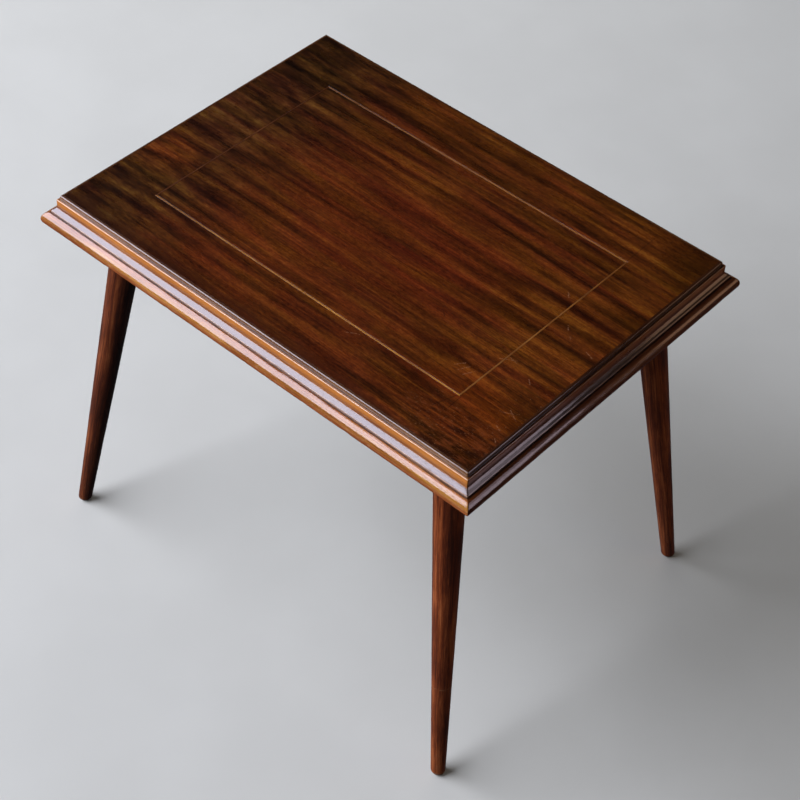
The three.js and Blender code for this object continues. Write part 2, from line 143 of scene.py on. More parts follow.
# ------------------------------------------------------------- node helpers
class Tree:
    """A material's nodes. Coordinates are in millimetres."""

    def __init__(self, name, preview, rough=0.5, metallic=0.0, spec=0.5, coat=0.0, coat_rough=0.1, ior=1.5):
        self.mat = bpy.data.materials.new(name)
        self.mat.use_nodes = True
        self.mat.diffuse_color = (*preview, 1)
        self.nt = self.mat.node_tree
        self.nt.nodes.clear()
        out = self.add("ShaderNodeOutputMaterial")
        self.bsdf = self.add("ShaderNodeBsdfPrincipled")
        self.nt.links.new(self.bsdf.outputs[0], out.inputs[0])
        b = self.bsdf.inputs
        b["Base Color"].default_value = (*preview, 1)
        b["Roughness"].default_value = rough
        b["Metallic"].default_value = metallic
        b["Specular IOR Level"].default_value = spec
        b["IOR"].default_value = ior
        b["Coat Weight"].default_value = coat
        b["Coat Roughness"].default_value = coat_rough

    def add(self, kind, **kw):
        n = self.nt.nodes.new(kind)
        for k, v in kw.items():
            setattr(n, k, v)
        return n

    def put(self, socket, value):
        if isinstance(value, bpy.types.NodeSocket):
            self.nt.links.new(value, socket)
        elif isinstance(value, (tuple, list)) and len(value) == 3 and socket.type == "RGBA":
            socket.default_value = (*value, 1)
        else:
            socket.default_value = value

    def math(self, op, a, b=0.0, c=None, clamp=False):
        n = self.add("ShaderNodeMath", operation=op, use_clamp=clamp)
        self.put(n.inputs[0], a)
        self.put(n.inputs[1], b)
        if c is not None:
            self.put(n.inputs[2], c)
        return n.outputs[0]

    def plus(self, *terms):
        total = terms[0]
        for t in terms[1:]:
            total = self.math("ADD", total, t)
        return total

    def times(self, a, b):
        return self.math("MULTIPLY", a, b)

    def swing(self, a, amount, middle=0.5):
        """(a - middle) * amount"""
        return self.math("MULTIPLY_ADD", a, amount, -middle * amount)

    def object_mm(self):
        n = self.add("ShaderNodeVectorMath", operation="SCALE")
        self.put(n.inputs[0], self.add("ShaderNodeTexCoord").outputs["Object"])
        n.inputs["Scale"].default_value = 1000.0
        return n.outputs[0]

    def grain_mm(self):
        a = self.add("ShaderNodeAttribute", attribute_name="grain", attribute_type="GEOMETRY")
        n = self.add("ShaderNodeVectorMath", operation="SCALE")
        self.put(n.inputs[0], a.outputs["Vector"])
        n.inputs["Scale"].default_value = 1000.0
        return n.outputs[0]

    def split(self, v):
        n = self.add("ShaderNodeSeparateXYZ")
        self.put(n.inputs[0], v)
        return n.outputs[0], n.outputs[1], n.outputs[2]

    def joined(self, x, y, z):
        n = self.add("ShaderNodeCombineXYZ")
        for s, v in zip(n.inputs, (x, y, z)):
            self.put(s, v)
        return n.outputs[0]

    def scaled(self, x, y, z, sx, sy, sz, shift=(0.0, 0.0, 0.0)):
        """Point (x/sx, y/sy, z/sz) plus a shift."""
        parts = []
        for v, s, d in zip((x, y, z), (sx, sy, sz), shift):
            parts.append(d if v is None else self.math("MULTIPLY_ADD", v, 1.0 / s, d))
        return self.joined(*parts)

    def noise(self, v, scale=1.0, detail=2.0, rough=0.5, distortion=0.0, lacunarity=2.0):
        n = self.add("ShaderNodeTexNoise", noise_dimensions="3D")
        self.put(n.inputs["Vector"], v)
        n.inputs["Scale"].default_value = scale
        n.inputs["Detail"].default_value = detail
        n.inputs["Roughness"].default_value = rough
        n.inputs["Lacunarity"].default_value = lacunarity
        n.inputs["Distortion"].default_value = distortion
        return n.outputs[0]

    def voronoi(self, v, feature="F1", randomness=1.0, out="Distance"):
        n = self.add("ShaderNodeTexVoronoi", voronoi_dimensions="3D", feature=feature)
        self.put(n.inputs["Vector"], v)
        n.inputs["Scale"].default_value = 1.0
        n.inputs["Randomness"].default_value = randomness
        return n.outputs[out]

    def fade(self, v, a, b, lo=0.0, hi=1.0, kind="SMOOTHSTEP"):
        """lo where v is at a, hi where it is at b."""
        n = self.add("ShaderNodeMapRange", interpolation_type=kind)
        self.put(n.inputs[0], v)
        n.inputs[1].default_value, n.inputs[2].default_value = a, b
        n.inputs[3].default_value, n.inputs[4].default_value = lo, hi
        return n.outputs[0]

    def ramp(self, v, stops, kind="LINEAR"):
        n = self.add("ShaderNodeValToRGB")
        n.color_ramp.interpolation = kind
        e = n.color_ramp.elements
        while len(e) < len(stops):
            e.new(0.5)
        for el, (pos, col) in zip(e, stops):
            el.position = pos
            el.color = (*col, 1)
        self.put(n.inputs[0], v)
        return n.outputs[0]

    def mix(self, fac, a, b, blend="MIX"):
        n = self.add("ShaderNodeMix", data_type="RGBA", blend_type=blend)
        n.clamp_factor = True
        self.put(n.inputs[0], fac)
        self.put(n.inputs[6], a)
        self.put(n.inputs[7], b)
        return n.outputs[2]

    def grey(self, v):
        n = self.add("ShaderNodeCombineColor")
        for s in n.inputs:
            self.put(s, v)
        return n.outputs[0]

    def mark(self, x, y, a, b, width):
        """1 on the short line from a to b, fading to 0 at width from it."""
        dx, dy = b[0] - a[0], b[1] - a[1]
        l2 = dx * dx + dy * dy
        px, py = self.math("SUBTRACT", x, a[0]), self.math("SUBTRACT", y, a[1])
        t = self.math("MULTIPLY_ADD", px, dx / l2, self.times(py, dy / l2), clamp=True)
        qx = self.math("MULTIPLY_ADD", t, -dx, px)
        qy = self.math("MULTIPLY_ADD", t, -dy, py)
        d = self.math("SQRT", self.plus(self.times(qx, qx), self.times(qy, qy)))
        return self.fade(d, 0.0, width, 1.0, 0.0)

    def near(self, x, y, at, size, soft=0.0):
        """1 near a point, 0 past size = (x, y) from it."""
        px = self.math("MULTIPLY_ADD", x, 1.0 / size[0], -at[0] / size[0])
        py = self.math("MULTIPLY_ADD", y, 1.0 / size[1], -at[1] / size[1])
        d = self.math("SQRT", self.plus(self.times(px, px), self.times(py, py)))
        return self.fade(d, soft, 1.0, 1.0, 0.0)

    def colour(self, c):
        self.put(self.bsdf.inputs["Base Color"], c)

    def roughness(self, r):
        self.put(self.bsdf.inputs["Roughness"], r)

    def bump(self, height, distance, strength=1.0, coat=True):
        """height in 0 to 1, distance its size in millimetres."""
        n = self.add("ShaderNodeBump")
        n.inputs["Strength"].default_value = strength
        n.inputs["Distance"].default_value = distance * MM
        self.put(n.inputs["Height"], height)
        self.nt.links.new(n.outputs[0], self.bsdf.inputs["Normal"])
        if coat:
            self.nt.links.new(n.outputs[0], self.bsdf.inputs["Coat Normal"])


# --------------------------------------------------------------- materials
def veneer_material():
    """Ribbon-stripe veneer, one sheet over the whole top, under an old glossy lacquer."""
    t = Tree("mahogany_veneer", (0.09, 0.020, 0.0035), rough=0.30, spec=0.08, coat=0.45, coat_rough=0.12)
    x, y, z = t.split(t.object_mm())
    slow = t.noise(t.scaled(x, y, None, 420, 150, 1, (0, 0, 3.1)), detail=1)
    quick = t.noise(t.scaled(x, y, None, 95, 24, 1, (0, 0, 7.7)), detail=1.5)
    yw = t.plus(y, t.swing(slow, 14), t.swing(quick, 3.4), t.times(x, 0.010))
    # the ribbons: soft bands about 23 mm apart that swell and fade along the grain
    drift = t.noise(t.scaled(x, yw, None, 420, 60, 1, (2.2, 0.7, 9.0)), detail=1.0)
    bands = t.math("SINE", t.plus(t.times(yw, 2 * math.pi / 23.0), t.swing(drift, 9.0)))
    strength = t.fade(t.noise(t.scaled(x, y, None, 170, 34, 1, (6.1, 2.9, 13.0)), detail=1.0), 0.34, 0.62, 0.03, 0.145)
    ribbon = t.noise(t.scaled(x, yw, None, 330, 13.0, 1, (0.3, 0.2, 11.3)), detail=1.5, rough=0.45)
    soft = t.noise(t.scaled(x, yw, None, 120, 7.0, 1, (5.3, 1.2, 17.9)), detail=2.0, rough=0.5)
    broken = t.noise(t.scaled(x, yw, None, 24, 9.5, 1, (2.3, 0.2, 21.0)), detail=3.0, rough=0.6)
    blotch = t.noise(t.scaled(x, yw, None, 58, 13, 1, (3.3, 4.2, 26.0)), detail=2.0, rough=0.5)
    stripe = t.noise(t.scaled(x, yw, None, 120, 1.25, 1, (0, 0, 29.0)), detail=2.0, rough=0.55)
    thin = t.noise(t.scaled(x, yw, None, 180, 4.0, 1, (7.2, 0.4, 36.0)), detail=1.5, rough=0.5)
    fibre = t.noise(t.scaled(x, yw, None, 36, 1.2, 1, (0, 0, 31.0)), detail=3.0, rough=0.65)
    pin = t.noise(t.scaled(x, yw, None, 9, 0.62, 1, (0, 0, 41.0)), detail=2.5, rough=0.65)
    fleck = t.noise(t.scaled(x, yw, None, 6.5, 3.0, 1, (0, 0, 46.0)), detail=2.5, rough=0.6)
    cloud = t.noise(t.scaled(x, y, None, 120, 48, 1, (1.7, 0.4, 51.0)), detail=2.0, rough=0.5)

    left = t.fade(x, -110, -225)
    even = t.fade(t.near(x, y, (20, -70), (190, 95)), 0.0, 1.0, 1.0, 0.45)     # plainer figure in the middle
    strong = t.math("MAXIMUM", t.near(x, y, (240, 60), (270, 170), 0.3), left)
    strong = t.math("MULTIPLY_ADD", strong, 0.5, 0.5)
    tone = t.plus(
        0.5,
        t.times(t.times(t.times(bands, strength), strong), even),
        t.times(t.swing(ribbon, 0.62), even),
        t.times(t.swing(soft, 0.42), even),
        t.times(t.swing(broken, 1.0), t.math("MULTIPLY_ADD", left, 0.40, 0.36)),
        t.times(t.swing(blotch, 1.20), left),
        t.swing(thin, 0.34),
        t.swing(stripe, 0.38),
        t.swing(fibre, 0.45),
        t.swing(pin, 0.50),
        t.swing(fleck, 0.50),
        t.swing(cloud, 0.42),
    )
    colour = t.ramp(tone, [
        (0.00, (0.013, 0.0026, 0.0010)),
        (0.26, (0.034, 0.0066, 0.0018)),
        (0.48, (0.076, 0.0150, 0.0030)),
        (0.70, (0.134, 0.0290, 0.0047)),
        (1.00, (0.240, 0.0650, 0.0100)),
    ])
    glint = t.noise(t.scaled(x, yw, None, 210, 1.6, 1, (4.4, 0.9, 34.0)), detail=2.0, rough=0.55)
    colour = t.mix(t.times(t.fade(glint, 0.56, 0.68), 0.18), colour, (0.200, 0.062, 0.010))
    # redder in the middle, more golden towards the right and the back
    gold = t.noise(t.scaled(x, y, None, 110, 20, 1, (4.7, 3.4, 61.0)), detail=2.5, rough=0.5)
    gold = t.plus(t.swing(gold, 2.6), t.fade(x, 60, 280, 0.0, 0.30), t.fade(y, 60, 200, 0.0, 0.30), t.fade(x, -90, -230, 0.0, 0.12))
    colour = t.mix(t.math("ADD", gold, 0.12, clamp=True), colour, (1.05, 1.38, 0.76), "MULTIPLY")
    colour = t.mix(t.math("SUBTRACT", 0.10, gold, clamp=True), colour, (1.12, 0.82, 1.05), "MULTIPLY")
    red = t.near(x, y, (40, -10), (190, 120), 0.2)
    colour = t.mix(t.times(red, 0.55), colour, (1.06, 0.80, 0.95), "MULTIPLY")

    # large-scale tone: darker to the left end, in the right corners and along the near edge
    end = t.fade(x, -80, -245)
    rosy = t.near(x, y, (-262, -72), (62, 58), 0.1)     # but for one lighter, reddish place
    end = t.times(end, t.math("MULTIPLY_ADD", rosy, -0.75, 1.0))
    colour = t.mix(end, colour, (0.52, 0.72, 1.15), "MULTIPLY")
    shade = t.fade(t.near(x, y, (300, -215), (125, 75)), 0, 1, 1.0, 0.68)
    shade = t.times(shade, t.fade(t.near(x, y, (300, 225), (170, 110)), 0, 1, 1.0, 0.55))
    shade = t.times(shade, t.fade(t.near(x, y, (232, -52), (130, 92)), 0, 1, 1.0, 1.36))
    shade = t.times(shade, t.fade(t.near(x, y, (35, -112), (120, 55)), 0, 1, 1.0, 0.90))
    shade = t.times(shade, t.fade(t.near(x, y, (120, 128), (105, 45)), 0, 1, 1.0, 1.34))
    shade = t.times(shade, t.fade(t.near(x, y, (165, -180), (100, 50)), 0, 1, 1.0, 1.36))
    shade = t.times(shade, t.fade(t.near(x, y, (-45, 182), (75, 45)), 0, 1, 1.0, 0.66))
    shade = t.times(shade, t.fade(t.near(x, y, (296, -140), (30, 85)), 0, 1, 1.0, 0.66))
    # dirt and dark polish along the near edge, heavier to the left
    rim = t.noise(t.scaled(x, y, None, 38, 13, 1, (1.2, 5.0, 63.0)), detail=3.0, rough=0.6)
    rim = t.fade(t.plus(t.fade(y, -184, -206), t.swing(rim, 1.1), t.fade(x, 60, -200, 0.0, 0.22), t.fade(x, 40, 170, 0.0, -0.32)), 0.28, 0.72)
    colour = t.mix(t.times(rim, 0.54), colour, (0.019, 0.0048, 0.0028))
    # soft dark shadows of the figure across the right and the rear
    shadow = t.fade(t.noise(t.scaled(x, yw, None, 130, 13, 1, (8.1, 2.2, 66.0)), detail=1.5, rough=0.5), 0.56, 0.40)
    shadow = t.times(shadow, t.math("MAXIMUM", t.fade(x, 20, 180), t.fade(y, 20, 130)))
    shade = t.times(shade, t.math("MULTIPLY_ADD", shadow, -0.44, 1.0))
    shade = t.times(shade, t.fade(t.near(x, y, (-262, 188), (85, 55)), 0, 1, 1.0, 0.70))
    colour = t.mix(1.0, colour, t.grey(shade), "MULTIPLY")
    colour = t.mix(t.near(x, y, (236, -142), (100, 62), 0.15), colour, (1.50, 1.24, 1.05), "MULTIPLY")     # brighter round the front corner

    # open pores: short dark dashes along the grain
    pore = t.noise(t.scaled(x, yw, None, 3.8, 0.34, 1, (0, 0, 71.0)), detail=1.5, rough=0.5)
    pore = t.fade(pore, 0.57, 0.69)
    colour = t.mix(t.times(pore, 0.50), colour, (0.010, 0.0025, 0.0010))

    # mottled, rubbed patch near the front corner, with a ragged outline
    wander = t.noise(t.scaled(x, y, None, 30, 22, 1, (3.0, 0, 85.0)), detail=3.0, rough=0.6)
    patch = t.fade(t.plus(t.near(x, y, (255, -180), (125, 62)), t.swing(wander, 1.2)), 0.10, 0.72)
    mottle = t.noise(t.scaled(x, y, None, 24.0, 5.6, 1, (0, 0, 81.0)), detail=4.5, rough=0.60)
    worn = t.times(patch, t.fade(mottle, 0.48, 0.72))
    dull = t.times(patch, t.fade(mottle, 0.54, 0.34))
    colour = t.mix(t.times(worn, 0.62), colour, (0.200, 0.044, 0.010))
    colour = t.mix(t.times(dull, 0.62), colour, (0.014, 0.0038, 0.0018))
    freckle = t.noise(t.scaled(x, y, None, 2.6, 1.7, 1, (0, 3.0, 87.0)), detail=2.0, rough=0.6)
    colour = t.mix(t.times(t.times(patch, t.fade(freckle, 0.60, 0.70)), 0.40), colour, (0.26, 0.105, 0.045))
    # specks of rubbed lacquer along the right end
    speck = t.noise(t.scaled(x, y, None, 2.4, 1.5, 1, (0, 6.0, 83.0)), detail=2.0, rough=0.6)
    speck = t.times(t.fade(speck, 0.66, 0.74), t.near(x, y, (284, -110), (48, 120), 0.1))
    colour = t.mix(t.times(speck, 0.65), colour, (0.30, 0.145, 0.070))

    # knife cuts that overrun the corners of the inlaid line
    cuts = None
    for a, b in [((217.0, 138.5), (216.6, 190.0)), ((220.6, -138.5), (221.0, -158.0)), ((216.4, -138.6), (207.0, -166.0))]:
        m = t.mark(x, y, a, b, 0.75)
        cuts = m if cuts is None else t.math("MAXIMUM", cuts, m)
    colour = t.mix(t.times(cuts, 0.62), colour, (0.010, 0.003, 0.0015))

    # scratches and small dents where the lacquer is rubbed pale
    pale = None
    for a, b, w in [
        ((202.5, 56.5), (207.5, 50.5), 1.2), ((234.0, 16.5), (238.0, 11.5), 1.1), ((245.5, 5.0), (248.5, 2.0), 1.2),
        ((271.5, -1.5), (281.0, -4.5), 1.3), ((213.5, -69.5), (229.5, -59.5), 0.7), ((217.0, -60.0), (233.0, -63.5), 0.6),
        ((74.5, -150.5), (88.5, -142.5), 0.65), ((186.0, -108.0), (193.0, -98.5), 0.8), ((193.5, -111.0), (199.5, -99.5), 0.8),
        ((201.0, -113.5), (207.5, -101.5), 0.75), ((254.0, -72.0), (259.0, -77.0), 0.9), ((268.0, -118.0), (279.0, -124.5), 0.8),
        ((262.0, -126.0), (276.0, -119.0), 0.6), ((271.5, -143.5), (277.5, -146.5), 1.0), ((280.5, -157.5), (284.5, -161.0), 1.0),
    ]:
        m = t.mark(x, y, a, b, w)
        pale = m if pale is None else t.math("MAXIMUM", pale, m)
    ragged = t.fade(t.noise(t.scaled(x, y, None, 1.6, 1.6, 1, (0, 0, 91.0)), detail=2.0), 0.40, 0.62)
    pale = t.times(pale, ragged)
    colour = t.mix(t.times(pale, 0.62), colour, (0.33, 0.145, 0.068))
    dark = t.math("MAXIMUM", t.mark(x, y, (122.5, -52.0), (133.0, -61.5), 1.1), t.mark(x, y, (121.5, -60.5), (131.5, -54.5), 1.0))
    colour = t.mix(t.times(t.times(dark, ragged), 0.65), colour, (0.014, 0.005, 0.003))
    t.colour(colour)

    rub = t.noise(t.scaled(x, y, None, 46, 30, 1, (0, 0, 101.0)), detail=4.0, rough=0.6)
    t.roughness(t.plus(t.fade(rub, 0.35, 0.65, 0.25, 0.35), t.times(worn, 0.15), t.times(pale, 0.2)))
    height = t.plus(
        t.swing(fibre, 0.25), t.swing(pin, 0.25), t.times(pore, -0.55), t.times(cuts, -1.0), t.times(pale, -0.8),
        t.swing(rub, 0.4), t.times(speck, -0.5),
    )
    t.bump(height, 0.10, 0.45)
    return t.mat


def string_material(name, light, mid, dark, preview, left, rear):
    """Pale straight-grained line, toned by the lacquer, a little dirty."""
    t = Tree(name, preview, rough=0.40, spec=0.2, coat=0.4, coat_rough=0.14)
    x, y, z = t.split(t.grain_mm())
    fine = t.noise(t.scaled(x, y, z, 22, 0.35, 0.35), detail=2.5, rough=0.6)
    long = t.noise(t.scaled(x, y, z, 40, 6, 6, (3.1, 0, 0)), detail=2.5)
    tone = t.plus(0.5, t.swing(fine, 0.8), t.swing(long, 1.4))
    colour = t.ramp(tone, [(0.1, dark), (0.5, mid), (0.95, light)])
    grime = t.fade(t.noise(t.scaled(x, y, z, 5.5, 1.2, 1.2, (0, 7.7, 0)), detail=3.0, rough=0.65), 0.54, 0.70)
    colour = t.mix(t.times(grime, 0.6), colour, (0.085, 0.028, 0.009))
    # stain has run in along both edges
    edge = t.fade(t.math("ABSOLUTE", y), 0.60, 0.98)
    colour = t.mix(t.times(edge, 0.75), colour, (0.05, 0.014, 0.004))
    # it is darker at the left end and along the rear
    px, py, pz = t.split(t.object_mm())
    colour = t.mix(t.fade(px, 60, -215), colour, left, "MULTIPLY")
    colour = t.mix(t.fade(py, *rear), colour, (0.62, 0.52, 0.36), "MULTIPLY")
    t.colour(colour)
    t.bump(fine, 0.03, 0.5)
    return t.mat


def moulding_material():
    """Solid moulding, stained and lacquered; its noses rubbed pale with a painted highlight, its quirks dark with dirt
    and painted shade.
    """
    t = Tree("moulding_wood", (0.37, 0.120, 0.030), rough=0.34, spec=0.10, coat=1.0, coat_rough=0.08)
    t.bsdf.inputs["Coat IOR"].default_value = 1.6
    x, o, d = t.split(t.grain_mm())
    streak = t.noise(t.scaled(x, o, d, 60, 2.1, 2.1), detail=3.0, rough=0.6)
    fine = t.noise(t.scaled(x, o, d, 12, 0.50, 0.50, (3.3, 0, 0)), detail=2.5, rough=0.6)
    slow = t.noise(t.scaled(x, o, d, 90, 18, 18, (7.9, 0, 0)), detail=2.5)
    tone = t.plus(0.5, t.swing(streak, 1.0), t.swing(fine, 0.6), t.swing(slow, 0.9))
    colour = t.ramp(tone, [
        (0.05, (0.125, 0.0320, 0.0080)),
        (0.35, (0.245, 0.0720, 0.0175)),
        (0.60, (0.365, 0.1260, 0.0340)),
        (0.95, (0.540, 0.2350, 0.0820)),
    ])
    # the upright is rubbed to a golden orange, more so towards its top
    upright = t.times(t.fade(d, 5.0, 5.8), t.fade(d, 14.5, 9.0))
    colour = t.mix(t.times(upright, 0.70), colour, (0.78, 0.275, 0.050))
    # the arris and the fillet under it took the top's darker finish
    fillet = t.fade(d, 4.7, 5.6, 1.0, 0.0)
    colour = t.mix(fillet, colour, (0.60, 0.80, 1.20), "MULTIPLY")
    colour = t.mix(t.fade(d, 1.1, 0.4), colour, (0.40, 0.32, 0.26), "MULTIPLY")
    # the cove is darker and greyer; dirt and painted shade darken the quirk, and dirt sits under the fillet
    cove = t.times(t.fade(d, 15.4, 17.4), t.fade(d, 22.0, 21.0))
    colour = t.mix(t.times(cove, 0.86), colour, (0.115, 0.094, 0.098))
    q = t.near(o, d, (10.1, 22.75), (2.6, 1.35), 0.25)
    k = t.near(o, d, (1.95, 5.1), (1.3, 1.1), 0.1)
    dirt_and_shade = t.math("MAXIMUM", q, k)
    patchy = t.fade(t.noise(t.scaled(x, o, d, 9, 1.6, 1.6, (1.3, 0, 0)), detail=3.0, rough=0.6), 0.30, 0.62, 0.55, 1.0)
    colour = t.mix(t.times(t.times(dirt_and_shade, patchy), 0.88), colour, (0.012, 0.005, 0.003))
    # rubbed noses: the step and the nose under the cove are pale from wear and from a painted highlight; also the
    # outside of the bead
    worn_nose_highlight = t.math("MAXIMUM", t.near(o, d, (4.7, 5.6), (1.0, 1.0), 0.2), t.near(o, d, (9.9, 20.8), (0.9, 0.9), 0.1))
    rub = t.fade(t.noise(t.scaled(x, o, d, 16, 1.8, 1.8, (5.1, 0, 0)), detail=3.5, rough=0.65), 0.44, 0.66)
    colour = t.mix(t.times(t.times(worn_nose_highlight, t.math("MULTIPLY_ADD", rub, 0.5, 0.5)), 0.85), colour, (0.78, 0.50, 0.33))
    bead = t.times(t.fade(o, 15.0, 18.0), t.fade(d, 26.0, 31.0))
    chip = t.fade(t.noise(t.scaled(x, o, d, 6.5, 2.6, 2.6, (9.1, 0, 0)), detail=3.0, rough=0.7), 0.54, 0.66)
    colour = t.mix(t.times(t.times(bead, chip), 0.50), colour, (0.48, 0.24, 0.11))
    # painted highlight tint: greener, less blue colour in the band where the bead's highlight lies
    bead_highlight_tint = t.times(t.times(t.fade(d, 23.5, 25.5), t.fade(d, 30.0, 28.0)), t.fade(o, 9.0, 12.0))
    colour = t.mix(bead_highlight_tint, colour, (1.00, 1.12, 0.60), "MULTIPLY")
    # a pale chip under the bead, a light scratch and a dark cut on the front piece
    chipped = t.times(t.near(x, d, (801.0, 41.2), (2.6, 1.5), 0.3), t.fade(o, 6.0, 8.0))
    colour = t.mix(t.times(chipped, 0.9), colour, (0.80, 0.66, 0.52))
    colour = t.mix(t.times(t.mark(x, d, (941.0, 37.4), (946.5, 34.6), 0.55), 0.7), colour, (0.80, 0.60, 0.44))
    colour = t.mix(t.times(t.mark(x, d, (680.0, 25.5), (682.5, 31.0), 0.50), 0.7), colour, (0.060, 0.020, 0.010))
    # the outside of the bead is rubbed to a warmer orange
    colour = t.mix(t.times(t.fade(d, 31.0, 34.5), t.fade(o, 12.0, 15.0)), colour, (1.44, 1.04, 1.00), "MULTIPLY")
    under = t.fade(d, 39.6, 41.6)
    colour = t.mix(t.times(under, 0.45), colour, (0.34, 0.15, 0.07))
    pore = t.fade(t.noise(t.scaled(x, o, d, 3.2, 0.24, 0.24, (0, 5.5, 0)), detail=1.0), 0.60, 0.70)
    colour = t.mix(t.times(pore, 0.38), colour, (0.02, 0.006, 0.002))
    # painted shade: the short piece at the right, on the side turned from the main light, is darkened
    right_piece_shade = t.times(t.fade(x, 1140, 1150), t.fade(x, 1650, 1660, 1.0, 0.0))
    colour = t.mix(right_piece_shade, colour, (0.44, 0.33, 0.24), "MULTIPLY")
    t.colour(colour)
    t.roughness(t.fade(t.noise(t.scaled(x, o, d, 22, 6, 6, (2.2, 0, 0)), detail=4.0, rough=0.65), 0.35, 0.65, 0.26, 0.42))
    ripple = t.noise(t.scaled(x, o, d, 4.2, 3.0, 3.0, (4.4, 0, 0)), detail=3.0, rough=0.6)
    height = t.plus(t.swing(streak, 0.25), t.swing(fine, 0.35), t.times(pore, -0.4), t.times(t.times(bead, chip), -0.5), t.times(t.swing(ripple, 1.3), bead))
    t.bump(height, 0.07, 0.5)
    return t.mat


def leg_material():
    """Turned leg: reddish stain, streaks along the length, glossy lacquer."""
    t = Tree("leg_wood", (0.155, 0.030, 0.009), rough=0.38, spec=0.22, coat=0.7, coat_rough=0.16)
    t.bsdf.inputs["Sheen Weight"].default_value = 0.13
    t.bsdf.inputs["Sheen Roughness"].default_value = 0.45
    t.bsdf.inputs["Sheen Tint"].default_value = (1.0, 0.66, 0.52, 1.0)
    x, a, b = t.split(t.grain_mm())
    warp = t.noise(t.scaled(x, a, b, 210, 40, 40, (1.9, 0, 0)), detail=1.0)
    aw = t.plus(a, t.swing(warp, 9.0))
    ring = t.noise(t.scaled(x, aw, b, 220, 3.6, 11.0), detail=2.5, rough=0.5)
    streak = t.noise(t.scaled(x, aw, b, 55, 1.5, 2.0, (4.1, 0, 0)), detail=3.0, rough=0.6)
    fine = t.noise(t.scaled(x, a, b, 15, 0.50, 0.50, (2.7, 0, 0)), detail=2.5, rough=0.6)
    slow = t.noise(t.scaled(x, a, b, 80, 30, 30, (8.8, 0, 0)), detail=2.5)
    tone = t.plus(0.5, t.swing(ring, 1.3), t.swing(streak, 1.35), t.swing(fine, 0.95), t.swing(slow, 1.0))
    colour = t.ramp(tone, [
        (0.05, (0.055, 0.0088, 0.0024)),
        (0.38, (0.140, 0.0245, 0.0055)),
        (0.62, (0.250, 0.0520, 0.0120)),
        (0.95, (0.450, 0.1300, 0.0390)),
    ])
    # painted shade: the two left-hand legs are darkened
    left_legs_shade = t.times(t.fade(a, 85, 95, 0.68, 1.0), t.fade(a, 205, 215, 1.0, 0.68))
    colour = t.mix(1.0, colour, t.grey(left_legs_shade), "MULTIPLY")
    pore = t.fade(t.noise(t.scaled(x, a, b, 3.4, 0.24, 0.24, (0, 5.5, 0)), detail=1.0), 0.60, 0.70)
    colour = t.mix(t.times(pore, 0.4), colour, (0.010, 0.003, 0.002))
    # a worn ring and a few long scratches low on the front leg
    ring_mark = t.times(t.fade(t.math("ABSOLUTE", t.math("ADD", x, -337.0)), 0.2, 1.6, 1.0, 0.0), t.times(t.fade(a, 100, 102), t.fade(a, 138, 140, 1.0, 0.0)))
    ring_mark = t.times(ring_mark, t.fade(t.noise(t.scaled(x, a, b, 3.0, 3.0, 3.0, (0, 3.5, 0)), detail=2.0), 0.42, 0.56))
    colour = t.mix(t.times(ring_mark, 0.6), colour, (0.30, 0.13, 0.060))
    # knocks near the foot show paler wood
    foot = t.fade(x, 395, 468)
    knock = t.fade(t.noise(t.scaled(x, a, b, 7.5, 4.5, 4.5, (6.1, 0, 0)), detail=3.5, rough=0.7), 0.58, 0.68)
    colour = t.mix(t.times(t.times(foot, knock), 0.55), colour, (0.26, 0.12, 0.060))
    rim = t.fade(x, 466.5, 471.5)
    colour = t.mix(t.times(rim, 0.6), colour, (0.30, 0.17, 0.10))
    t.colour(colour)
    t.roughness(t.fade(t.noise(t.scaled(x, a, b, 30, 9, 9, (2.2, 0, 0)), detail=4.0, rough=0.65), 0.35, 0.65, 0.30, 0.46))
    height = t.plus(t.swing(streak, 0.3), t.swing(fine, 0.3), t.times(pore, -0.4))
    t.bump(height, 0.12, 0.5)
    return t.mat


def raw_wood(name, stops, along="x", blocks=0.0, rough=0.72):
    """Unpolished wood for what is under the top; along is the grain's direction."""
    t = Tree(name, stops[len(stops) // 2][1], rough=rough, spec=0.3)
    x, y, z = t.split(t.object_mm())
    if along == "y":
        x, y = y, x
    warp = t.noise(t.scaled(x, y, z, 220, 60, 60, (1.1, 0, 0)), detail=1.0)
    yw = t.plus(y, t.swing(warp, 14.0))
    ring = t.noise(t.scaled(x, yw, z, 300, 3.4, 6.0), detail=2.5, rough=0.5)
    fine = t.noise(t.scaled(x, yw, z, 40, 0.7, 0.7, (3.1, 0, 0)), detail=3.0, rough=0.6)
    slow = t.noise(t.scaled(x, y, z, 140, 50, 50, (5.5, 0, 0)), detail=2.0)
    tone = t.plus(0.5, t.swing(ring, 1.0), t.swing(fine, 0.6), t.swing(slow, 0.6))
    if blocks:
        cell = t.math("FLOOR", t.times(y, 1.0 / blocks))
        each = t.add("ShaderNodeTexWhiteNoise", noise_dimensions="1D")
        t.put(each.inputs["W"], cell)
        tone = t.plus(tone, t.swing(each.outputs[0], 0.35))
    colour = t.ramp(tone, stops)
    stain = t.fade(t.noise(t.scaled(x, y, z, 60, 45, 45, (9.5, 0, 0)), detail=4.0, rough=0.6), 0.50, 0.72)
    colour = t.mix(t.times(stain, 0.35), colour, (0.10, 0.055, 0.028))
    t.colour(colour)
    t.bump(t.plus(t.swing(fine, 0.6), t.swing(ring, 0.3)), 0.20, 0.6, coat=False)
    return t.mat


